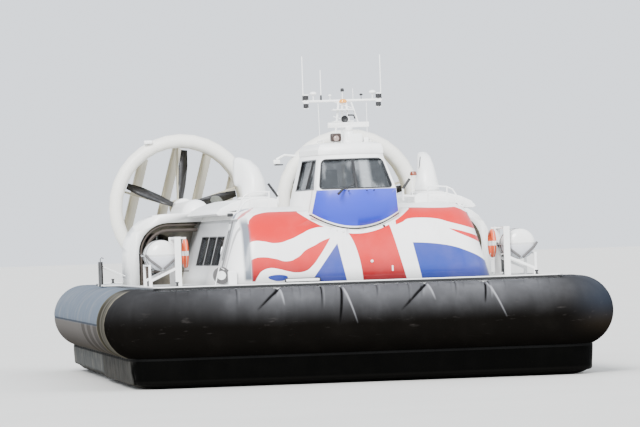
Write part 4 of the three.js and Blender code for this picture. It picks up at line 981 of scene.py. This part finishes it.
class HOVER_OT_fingers(bpy.types.Operator):
    """The row of fingers: a section carried round the plan, with a half-round front for each finger."""

    bl_idname = "hover.fingers"
    bl_label = "Skirt fingers"

    def execute(self, context):
        use = context.scene.hover_skirt
        fingers = int(round(plan(1, BAG_REACH)[3] / use.finger_pitch))
        P, N, s, _ = plan(fingers * FINGER_COLUMNS, FINGER_REACH)
        Y = P[:, 1] + FINGER_REACH * N[:, 1]
        ahead = eased(-(Y + 10.7) * 12)
        corner = eased(-(Y + 7.7) * 9) * (1 - ahead)
        # How deep the valley between two fingers is, and how the cloth wanders, is crushed and is lifted aft.
        across = (np.arange(len(s)) % FINGER_COLUMNS) / FINGER_COLUMNS * 2 - 1
        fold = use.finger_bulge * (1 - np.sqrt(1 - across**2)) * (1 - 0.75 * ahead)
        wave = 0.012 * np.sin(s * 1.7) + 0.008 * np.sin(s * 4.1 + 1)
        crush = corner * (0.030 * np.sin(s * 9.0) + 0.022 * np.sin(s * 17.0 + 2)) - 0.03 * corner
        lift = 0.10 * eased((Y + 1.2) * 30)
        reach, height, folded, waved, lifted = FINGER.T[:, :, None]
        out = reach - folded * fold + waved * (wave + crush * (1 + np.sin(7 * height)) / 2)
        row = Form().grid(ring_on(P, N, out, height + lifted * lift), True, True)
        row = row.piece("finger_row", "craft", "skirt_rubber", ["fingers"], 60, ("skirt_fingers",))
        return {"FINISHED"}


class HOVER_OT_shell(bpy.types.Operator):
    """Smooth-shaded copies of the curved shells, each with its paint, and paint on the flat ones."""

    bl_idname = "hover.shell"
    bl_label = "Hull and cabin"

    def execute(self, context):
        smoothed("nose_shell", "cabin_nose", "craft", "flag", 38)
        smoothed("cabin_roof", "cabin_top", "craft", "roof", 38, 0.012)
        smoothed("wheelhouse_shell", "wheelhouse_walls", "craft", "wheelhouse", 32)
        smoothed("wheelhouse_roof", "wheelhouse_top", "craft", "wheelhouse", 34, 0.010)
        single = {
            "hull": "deck", "deck_strake": "strake", "engine_room": "white", "helm": "helm",
            "wheelhouse_glass": "glass", "mast": "mast",
        }
        paired = {
            "landing_skid": "metal", "cabin_side": "cabin side", "cabin_door": "door",
            "side_glazing": "glass", "engine": "machine", "raft_frame": "plain white",
            "gangway_plate": "gangway",
        }
        for node, coat in single.items():
            dress(node, coat)
        for side in SIDES:
            for node, coat in paired.items():
                dress(f"{node}_{side}", coat)
            smoothed(f"air_trunk_{side}", f"trunk_{side}", "craft", "white", 30, 0.015)
            smoothed(f"fan_bay_{side}", f"bay_{side}", "craft", "bay")
        return {"FINISHED"}


class HOVER_OT_drive(bpy.types.Operator):
    """Ducts, propellers, rudders, fairings, lift fans and thrusters, smooth-shaded and painted."""

    bl_idname = "hover.drive"
    bl_label = "Fans and thrusters"

    def execute(self, context):
        # Node, piece, body (None for the craft), slot, finish and smooth angle.
        parts = (
            ("duct", "shroud", None, "cream_paint", "duct", 34),
            ("drive_fairing", "fairing", None, "white_paint", "plain white", 34),
            ("propeller", "airscrew", "propeller", "dark_plastic", "blade", 50),
            ("lift_fan", "fan", "lift_fan", "bare_metal", "metal", 40),
            ("bow_thruster", "nozzle", "bow_thruster", "white_paint", "plain white", 34),
        )
        for side in SIDES:
            for node, piece, body, slot, coat, angle in parts:
                body = f"{body}_{side}" if body else "craft"
                smoothed(f"{node}_{side}", f"{piece}_{side}", body, coat, angle)
            for number in range(1, 5):
                dress(f"rudder_{side}_{number}", "cream")
        return {"FINISHED"}


def life_raft(side, sign):
    """A canister: a turned profile whose ends close as (1 - t^2.6)^(1/2.2), with a flange and webbing."""
    y = np.sin(np.linspace(-math.pi / 2, math.pi / 2, 61)) * 0.65
    t = np.clip((np.abs(y) - 0.46) / 0.19, 0, 1)
    ribs = 0.004 * (np.cos(TAU * y / 0.115) > 0.86) * (np.abs(y) < 0.45)
    profile = np.stack([0.39 * (1 - t**2.6) ** (1 / 2.2) - ribs, y], -1)
    flange = np.array([0.449, 0.53, 0.014])
    strap = np.array([(0.391, -0.03), (0.398, -0.03), (0.398, 0.03), (0.391, 0.03)])
    # A V of webbing across each end, from the flange down to the cradle.
    web = np.array([(0.43, 0.575, 0.03), (0.33, 0.625, -0.10), (0.03, 0.674, -0.345)])
    at = np.array(RAFT_AT) * (sign, 1, 1)
    raft = Form().lathe(profile, at, (0, 1, 0), 48)
    raft.block(at - flange, at + flange, 0.12)
    for band in (-0.29, 0.29):
        raft.lathe(strap + (0, band), at, (0, 1, 0), 40, 1, loop=True)
    for end in (-1, 1):
        for way in (-1, 1):
            raft.tube(at + web * (way, end, 1), 0.033, 8, 1)
    raft.piece(f"raft_can_{side}", "craft", "white_plastic", ["raft", "web"], 40, (f"liferaft_{side}",))


def lifebuoy(side, sign, rope):
    """A circle turned round a ring, and a grab line that goes out with |sin 2a| between four bands."""
    turn = np.linspace(0, TAU, 24, endpoint=False)
    section = np.stack([0.315 + 0.062 * np.cos(turn), 0.062 * np.sin(turn)], -1)
    a = np.linspace(0, TAU, 96, endpoint=False)
    slack = 0.372 + 0.012 * np.abs(np.sin(2 * a))
    line = np.stack([0 * a, slack * np.sin(a), slack * np.cos(a)], -1)
    at = np.array(BUOY_AT) * (sign, 1, 1)
    buoy = Form().lathe(section, at, (1, 0, 0), 64, loop=True)
    buoy.tube(at + line, rope, 6, 1, closed=True)
    buoy.piece(f"buoy_{side}", "craft", "orange_plastic", ["buoy", "rope"], 50, (f"lifebuoy_{side}",))


class HOVER_OT_rafts(bpy.types.Operator):
    """Life-raft canisters in their frames, and the lifebuoys beside them."""

    bl_idname = "hover.rafts"
    bl_label = "Rafts and lifebuoys"

    def execute(self, context):
        for side, sign in SIDES.items():
            life_raft(side, sign)
            lifebuoy(side, sign, context.scene.hover_fittings.rope_radius)
        return {"FINISHED"}


class HOVER_OT_masthead(bpy.types.Operator):
    """Lamps, receivers, aerials, stays and a horn on the mast, turned from profiles and tubes along paths."""

    bl_idname = "hover.masthead"
    bl_label = "Mast gear"

    def execute(self, context):
        gear = Form()
        mushroom = np.array([(0, 0.10), (0.05, 0.095), (0.085, 0.07), (0.09, 0.04), (0.075, 0.02),
                             (0.03, 0.012), (0.016, 0), (0.016, -0.16), (0, -0.16)])
        lamp = [(0, 0.055), (0.045, 0.055), (0.064, 0.035), (0.064, -0.035), (0.045, -0.055), (0, -0.055)]
        dome = [(0, 0.045), (0.05, 0.043), (0.09, 0.02), (0.104, -0.005), (0.104, -0.03), (0.08, -0.055),
                (0, -0.055)]
        cap = [(0, 0.06), (0.04, 0.05), (0.05, 0.0), (0.045, -0.03), (0, -0.03)]
        horn = [(0, 0.02), (0.03, 0.02), (0.035, -0.05), (0.05, -0.12), (0.09, -0.17), (0.095, -0.18),
                (0.08, -0.18), (0, -0.10)]
        base = [(0, 0.13), (0.022, 0.12), (0.025, 0.0), (0.018, -0.02), (0, -0.02)]
        # Profile, x, distance from the mast's middle along y, z, sides and finish.
        turned = [(mushroom, x, 0, 7.24, 24, 0) for x in (-0.74, 0.78)]
        turned += [(lamp, x, -0.06, z, 20, 1) for x in (-0.94, 0.92) for z in (6.98, 7.185)]
        turned += [(mushroom * (0.5, 0.6), x, 0, 7.20, 16, coat) for x, coat in ((-0.31, 0), (0.49, 1))]
        turned += [(dome, 0.02, 0, 7.085, 24, 2), (cap, 0.01, 0, 7.35, 16, 1)]
        turned += [(base, x, 0, 7.12, 12, 1) for x in (-0.995, -0.54, 0.995)]
        for profile, x, y, z, sides, coat in turned:
            gear.lathe(profile, (x, MAST_Y + y, z), sides=sides, coat=coat)
        gear.lathe(horn, (0.01, MAST_Y - 0.12, 6.61), (0, 1, 0), 20, 1)
        # Path, radius, sides and finish: posts, the horn's pipe, rungs, a brace and stays.
        tubes = [([(0.01, 0, 7.1), (0.01, 0, 7.34)], 0.012, 8, 0)]
        tubes += [([(0.28, 0, 7.12), (0.28, 0, 7.39)], 0.008, 6, 0)]
        tubes += [([(0.13, -0.04, 6.72), (0.28, -0.04, 6.71), (0.31, -0.04, 6.62)], 0.022, 8, 1)]
        rungs = np.linspace(6.2, 6.95, 5)
        tubes += [([(-0.24, 0.01, z + 0.12), (0.24, -0.01, z - 0.05)], 0.011, 6, 0) for z in rungs]
        tubes += [([(0.23, 0, 7.05), (0.39, 0, 6.53)], 0.022, 8, 0)]
        tubes += [([(x, 0, 7.03), (x * 0.98, -0.05, 6.02)], 0.008, 6, 0) for x in (-0.62, 0.62)]
        for path, radius, sides, coat in tubes:
            gear.tube(np.array(path) + (0, MAST_Y, 0), radius, sides, coat)
        gear.piece("masthead_gear", "craft", "white_plastic", ["plain white", "black", "amber"])
        return {"FINISHED"}


class HOVER_OT_roof_gear(bpy.types.Operator):
    """Searchlight, housings, a small aerial and handrails on the wheelhouse's roof, and the radar scanner."""

    bl_idname = "hover.roof_gear"
    bl_label = "Roof gear and radar"

    def execute(self, context):
        roof = Form()
        roof.block((-0.46, -9.33, 6.03), (-0.19, -9.10, 6.24), 0.3, 0)
        lens = [(0, -0.02), (0.05, -0.015), (0.07, 0.0), (0.07, 0.05), (0, 0.06)]
        roof.lathe(lens, (-0.325, -9.33, 6.11), (0, 1, 0), 24, 1)
        roof.lathe([(0, 0.06), (0.05, 0.06), (0.07, 0), (0, 0)], (-0.325, -9.215, 6.0), sides=16, coat=2)
        roof.block((-0.07, -9.42, 5.99), (0.34, -9.06, 6.22), 0.25, 2)
        roof.block((0.37, -9.34, 5.99), (0.50, -9.16, 6.12), 0.3, 2)
        roof.tube([(0.25, -9.2, 6.1), (0.25, -9.2, 6.31)], 0.014, 8, 2)
        roof.sphere((0.25, -9.2, 6.31), 0.035, 1, 2, 12)
        for x in (-0.6, 0.6):
            roof.tube([(x, -8.95, 6.0), (x, -8.95, 6.07), (x, -7.75, 6.07), (x, -7.75, 6.0)], 0.013, 8, 2)
        roof.piece("roof_gear", "craft", "white_plastic", ["brown", "lens", "plain white"])
        smoothed("radar_scanner", "scanner_bar", "radar", "plain white", 34, 0.02)
        return {"FINISHED"}


class HOVER_OT_wipers(bpy.types.Operator):
    """Parked wipers under the windscreen, and double handrails over the trunks beside the wheelhouse."""

    bl_idname = "hover.wipers"
    bl_label = "Wipers and rails"

    def execute(self, context):
        use = context.scene.hover_fittings
        form = Form()

        def on_screen(x, z, proud):
            """A place that stands proud of the windscreen, which leans 0.95 aft for each metre up."""
            return x, -10.52 + (z - 4.80) * 0.95 - proud, z

        places = ((-0.50, 4.69, 0.0205), (-0.40, 4.78, 0.05), (-0.27, 4.86, 0.05))
        arm = [on_screen(*place) for place in places]
        form.tube(arm, (0.036, 0.030, 0.016), 8, 0)
        form.tube(np.linspace(arm[1], on_screen(-0.05, 4.93, 0.04), 4), 0.010, 6, 0)
        for x in (-0.22, 0.24, 0.42):
            form.sphere(on_screen(x, 4.765, 0.01), 0.026, 0.8, 0, 10)
        rail = np.array([(2.01, -8.9, 4.82), (2.30, -8.9, 4.83), (2.52, -8.9, 4.81), (2.66, -8.9, 4.74),
                         (2.74, -8.9, 4.62), (2.87, -8.9, 4.31)])
        drops = np.array([-0.16] * 5 + [-0.048])
        for sign in (-1, 1):
            for share in (0, 1):
                lowered = rail + share * drops[:, None] * (0, 0, 1)
                form.tube(lowered * (sign, 1, 1), use.rail_radius, 8, 1)
            for x, top in ((2.03, 4.82), (2.52, 4.80)):
                form.tube([(sign * x, -8.9, 4.36), (sign * x, -8.9, top)], use.rail_radius, 8, 1)
        form.piece("wipers_and_rails", "craft", "dark_plastic", ["black", "plain white"])
        return {"FINISHED"}


class HOVER_OT_thruster_feet(bpy.types.Operator):
    """Turntable collars under the thrusters, turned from one profile, with struts and a dark amber lamp.

    Struts and lamp stand ahead of the circle that the thrusters' mouths sweep.
    """

    bl_idname = "hover.thruster_feet"
    bl_label = "Thruster feet"

    def execute(self, context):
        collar = [(0.34, 0.0), (0.42, 0.0), (0.44, 0.012), (0.44, 0.03), (0.40, 0.05), (0.345, 0.055),
                  (0.34, 0.05)]
        y = -8.25
        struts = {
            "port": ((1.67, y, 5.05), (1.49, y, 4.80)),
            "starboard": ((-1.97, y, 5.04), (-1.73, y, 4.70)),
        }
        for side, sign in SIDES.items():
            form = Form()
            form.lathe(collar, (THRUSTER_X * sign, THRUSTER_Y, THRUSTER_FOOT_Z), sides=48, loop=True)
            foot = struts[side][1][0]
            form.tube(struts[side], 0.034, 8, 1)
            form.tube([(foot, y, 4.82), (foot, y, 4.50)], 0.026)
            form.tube([(foot, y, 4.62), (foot + 0.30 * sign, y, 4.60)], 0.026)
            if side == "port":
                form.tube([(1.73, y, 4.58), (1.73, y, 5.18)], 0.012, 6)
                lamp = [(0, 0.11), (0.07, 0.10), (0.09, 0.05), (0.09, 0.0), (0, 0.0)]
                form.lathe(lamp, (1.77, y, 5.13), sides=16, coat=2)
                # A dark edge down the thruster's inner side.
                places = ((2.11, 5.61), (2.08, 5.5), (2.055, 5.4), (2.035, 5.31))
                edge = Form().tube(facing_bow("bow_thruster_port", places), 0.016, 6)
                edge.piece("thruster_edge_port", "bow_thruster_port", "dark_plastic", ["black"])
            coats = ["plain white", "black", "dark amber"]
            form.piece(f"thruster_foot_{side}", "craft", "white_paint", coats)
        return {"FINISHED"}


class HOVER_OT_deck_gear(bpy.types.Operator):
    """Cleats, a hose reel, a locker, studs and a vent on the nose, and a box and a lamp at the ducts."""

    bl_idname = "hover.deck_gear"
    bl_label = "Deck gear"

    def execute(self, context):
        form = Form()
        # Cleats along the deck's edges.
        cleat = [(0, 0.0), (0.07, 0.0), (0.07, 0.012), (0.035, 0.02), (0.03, 0.09), (0.05, 0.11),
                 (0.05, 0.13), (0, 0.135)]
        for sign in (-1, 1):
            for x, y in ((4.55, -10.1), (4.72, -4.2), (4.66, 3.2), (4.45, 9.9)):
                form.lathe(cleat, (x * sign, y, DECK_Z), sides=16, coat=1)
                form.tube([(x * sign, y - 0.13, 2.60), (x * sign, y + 0.13, 2.60)], 0.018, 8, 1)
        # A small box on top of the starboard duct's lip, and a lamp on a bracket at the port duct's.
        form.block((-3.505, 8.83, 6.50), (-3.265, 9.0, 6.60), 0.25)
        form.tube([(0.92, 9.0, 6.02), (0.58, 8.98, 6.06), (0.34, 8.98, 5.94)], 0.035)
        form.block((0.24, 8.86, 5.80), (0.44, 9.02, 5.93), 0.3)
        form.block((0.27, 8.87, 5.76), (0.53, 9.0, 5.80), 0.3, 1)
        # The hose reel beside the nose: three turns of hose, a hub and a post, with a locker and a guard.
        reel = np.array([-3.44, -10.15, 2.76])
        turn = np.linspace(0, TAU, 40, endpoint=False)
        for radius in (0.20, 0.165, 0.13):
            hoop = np.stack([radius * np.cos(turn), 0 * turn, radius * np.sin(turn)], -1)
            form.tube(reel + hoop, 0.018, 8, 2, closed=True)
        form.lathe([(0, -0.03), (0.11, -0.03), (0.11, 0.03), (0, 0.03)], reel, (0, 1, 0), 24)
        form.tube([(-3.44, -10.08, 2.76), (-3.44, -10.05, 2.50)], 0.025)
        form.block((-3.30, -10.45, DECK_Z), (-3.08, -10.31, 2.87), 0.2)
        form.tube([(-3.62, -10.30, 2.52), (-3.50, -10.28, 2.98), (-3.38, -10.30, 2.90)], 0.012, 6)
        # Two dark plates on the starboard shoulder.
        form.block((-3.065, -8.55, 4.225), (-2.915, -8.45, 4.315), 0.4, 1)
        form.block((-2.84, -9.52, 4.12), (-2.74, -9.42, 4.18), 0.4, 1)
        # Studs along the chin's lower edge and on the nose, and an upright slot: x, z, radius and finish.
        studs = ((-0.66, 3.84, 0.035, 0), (-0.50, 3.79, 0.03, 0), (-0.34, 3.75, 0.035, 0),
                 (0.70, 3.86, 0.035, 1), (0.88, 3.94, 0.03, 0), (0.98, 3.97, 0.035, 0), (0.33, 2.99, 0.04, 0))
        for at, (_, _, radius, coat) in zip(facing_bow("nose_shell", [stud[:2] for stud in studs]), studs):
            form.sphere(at, radius, 1.0, coat, 12)
        slot, size = np.array(facing_bow("nose_shell", [(0.84, 2.80)])[0]), np.array([0.02, 0.02, 0.07])
        form.block(slot - size, slot + size, 0.3)
        # The vent bar under the nose, white on black.
        form.block((-1.9, -10.60, 2.530), (-1.0, -10.52, 2.635), 0.2, 1)
        form.block((-1.87, -10.61, 2.550), (-1.03, -10.53, 2.615), 0.2)
        form.piece("deck_gear", "craft", "white_paint", ["plain white", "black", "web"])
        return {"FINISHED"}


def on_wall(sign, z, out):
    """The x of a place at a height, out of the leaning wall's plane."""
    return sign * (WALL_X - (z - WALL_Z) * WALL_SLOPE + out)


def engine_details(side, sign, slats):
    """Louvres that lean with the wall, an exhaust along its path, and rails in the fan bay's mouth."""
    form = Form()
    turn = Matrix.Rotation(-sign * math.atan(WALL_SLOPE), 3, "Y")

    def on_louvre(y0, y1, z, half, power, coat):
        """A block that leans with the wall, half its thickness and height given."""
        x = on_wall(sign, z, 0.012)
        low, high = (x - half[0], y0, z - half[1]), (x + half[0], y1, z + half[1])
        form.block(low, high, power, coat, turn, 7, 12)

    for y0 in (3.95, 5.45):
        for z in np.linspace(2.95, 3.75, slats):
            on_louvre(y0, y0 + 1.15, z, (0.012, 0.024), 0.2, 1)
        for y in (y0 - 0.03, y0 + 1.15):
            on_louvre(y, y + 0.03, 3.35, (0.016, 0.46), 0.15, 0)
    pipe = [(1.65, 6.2, 4.40), (1.65, 6.2, 4.62), (1.66, 6.27, 4.74), (1.70, 6.42, 4.80), (1.76, 6.70, 4.81)]
    form.tube(np.array(pipe) * (sign, 1, 1), 0.11, 20, 2)
    # Rails in the mouth: two bent to its arch and two level ones.
    mouth = -0.93
    bend = np.radians(np.linspace(90, 0, 14))
    for radius, thick in ((0.74, 0.028), (0.60, 0.045)):
        x, z = ARCH_X + radius * np.cos(bend), ARCH_Z + radius * np.sin(bend)
        x, z = np.concatenate([[3.06], x, x[-1:]]), np.concatenate([z[:1], z, [2.52]])
        form.tube(np.stack([sign * x, 0 * x + mouth, z], -1), thick, 8, 3)
    for z in (2.85, 3.20):
        form.tube([(3.32 * sign, mouth, z), (4.58 * sign, mouth, z)], 0.016, 6, 3)
    coats = ["plain white", "grey", "machine", "umber"]
    form.piece(f"engine_details_{side}", "craft", "dark_metal", coats)


def handles(side, sign):
    """A bent handle on the cabin door and a hook on the gangway plate, tubes along short paths."""
    corners = ((3.28, 0), (3.28, 0.05), (3.46, 0.05), (3.46, 0))
    handle = Form().tube([(on_wall(sign, z, out), -8.27, z) for z, out in corners], 0.012)
    handle.piece(f"door_handle_{side}", f"door_{side}", "bare_metal", ["metal"])
    crook = np.array([(5.54, 0.95, 3.15), (5.54, 0.95, 3.24), (5.50, 0.95, 3.28), (5.45, 0.95, 3.25)])
    hook = Form().tube(crook * (sign, 1, 1), 0.012)
    hook.piece(f"gangway_hook_{side}", f"gangway_{side}", "dark_plastic", ["black"])


class HOVER_OT_machinery(bpy.types.Operator):
    """Engine-room louvres and exhausts, rails in the fan bays' mouths, door handles and gangway hooks."""

    bl_idname = "hover.machinery"
    bl_label = "Machinery details and handles"

    def execute(self, context):
        for side, sign in SIDES.items():
            engine_details(side, sign, context.scene.hover_fittings.louvre_slats)
            handles(side, sign)
        return {"FINISHED"}


class HOVER_OT_stage(bpy.types.Operator):
    """Camera at the photograph's place, a pale floor, two soft lights and an even sky."""

    bl_idname = "hover.stage"
    bl_label = "Stage"

    def execute(self, context):
        use = context.scene.hover_stage
        camera = bpy.data.objects.new("camera", bpy.data.cameras.new("camera"))
        camera.data.sensor_width, camera.data.lens = 36.0, use.lens
        camera.data.clip_start, camera.data.clip_end = 1.0, 3000.0
        rows = (
            (0.991227, 0.032183, -0.128193),
            (-0.127942, -0.009725, -0.991734),
            (-0.033164, 0.999435, -0.005522),
        )
        camera.matrix_world = Matrix.Translation((-16.354397, -129.642145, 3.559647)) @ Matrix(rows).to_4x4()
        context.scene.collection.objects.link(camera)
        context.scene.camera = camera

        paint = Paint("Pale floor", tuple(use.floor_colour))
        paint.lay(paint.noise(0.25, 4).rise(0.3, 0.8) * 0.25, (0.52, 0.51, 0.48))
        paint.done(0.7, paint.noise(8, 4), 0.1)
        a = np.linspace(0, TAU, 64, endpoint=False)
        radius = np.array([0.0, 30.0, 120.0, 900.0])[:, None]
        disc = np.stack([radius * np.cos(a), radius * np.sin(a), 0 * radius * a - 0.004], -1)
        mesh = Form().grid(disc, True).mesh("floor", [paint.material])
        merge(mesh, outward=False)
        floor = bpy.data.objects.new("floor", mesh)
        context.scene.collection.objects.link(floor)

        # Strength, direction and angular size in degrees.
        suns = {
            "key": (use.key_strength, (0.38, 0.86, -0.62), 24),
            "fill": (use.key_strength * 0.28, (-0.75, 0.55, -0.45), 60),
        }
        for name, (strength, way, spread) in suns.items():
            light = bpy.data.lights.new(name, "SUN")
            light.energy, light.angle = strength, math.radians(spread)
            lamp = bpy.data.objects.new(name, light)
            lamp.rotation_mode = "QUATERNION"
            lamp.rotation_quaternion = Vector(way).to_track_quat("-Z", "Y")
            context.scene.collection.objects.link(lamp)
        world = bpy.data.worlds.new("sky")
        world.use_nodes = True
        background = world.node_tree.nodes["Background"]
        background.inputs["Color"].default_value = (0.83, 0.88, 0.95, 1)
        background.inputs["Strength"].default_value = 1.85
        context.scene.world = world
        return {"FINISHED"}


class HOVER_PT_build(bpy.types.Panel):
    """Lists the builders and their sizes."""

    bl_idname = "HOVER_PT_build"
    bl_label = "Hovercraft"
    bl_space_type = "VIEW_3D"
    bl_region_type = "UI"
    bl_category = "Hovercraft"

    def draw(self, context):
        for operator in OPERATORS:
            self.layout.operator(operator.bl_idname)
        for name in SETTINGS:
            box = self.layout.box()
            group = getattr(context.scene, name)
            for key in group.__annotations__:
                box.prop(group, key)


OPERATORS = (
    HOVER_OT_stage, HOVER_OT_bag, HOVER_OT_fingers, HOVER_OT_shell, HOVER_OT_drive, HOVER_OT_rafts,
    HOVER_OT_masthead, HOVER_OT_roof_gear, HOVER_OT_wipers, HOVER_OT_thruster_feet, HOVER_OT_deck_gear,
    HOVER_OT_machinery,
)
SETTINGS = {"hover_skirt": SkirtSettings, "hover_fittings": FittingSettings, "hover_stage": StageSettings}
CLASSES = (*SETTINGS.values(), *OPERATORS, HOVER_PT_build)


def register():
    for part in CLASSES:
        bpy.utils.register_class(part)
    for name, group in SETTINGS.items():
        setattr(bpy.types.Scene, name, PointerProperty(type=group))


def unregister():
    for name in SETTINGS:
        delattr(bpy.types.Scene, name)
    for part in reversed(CLASSES):
        bpy.utils.unregister_class(part)


def main():
    """Builds everything."""
    register()
    for operator in OPERATORS:
        group, name = operator.bl_idname.split(".")
        getattr(getattr(bpy.ops, group), name)()


if __name__ == "__main__":
    main()
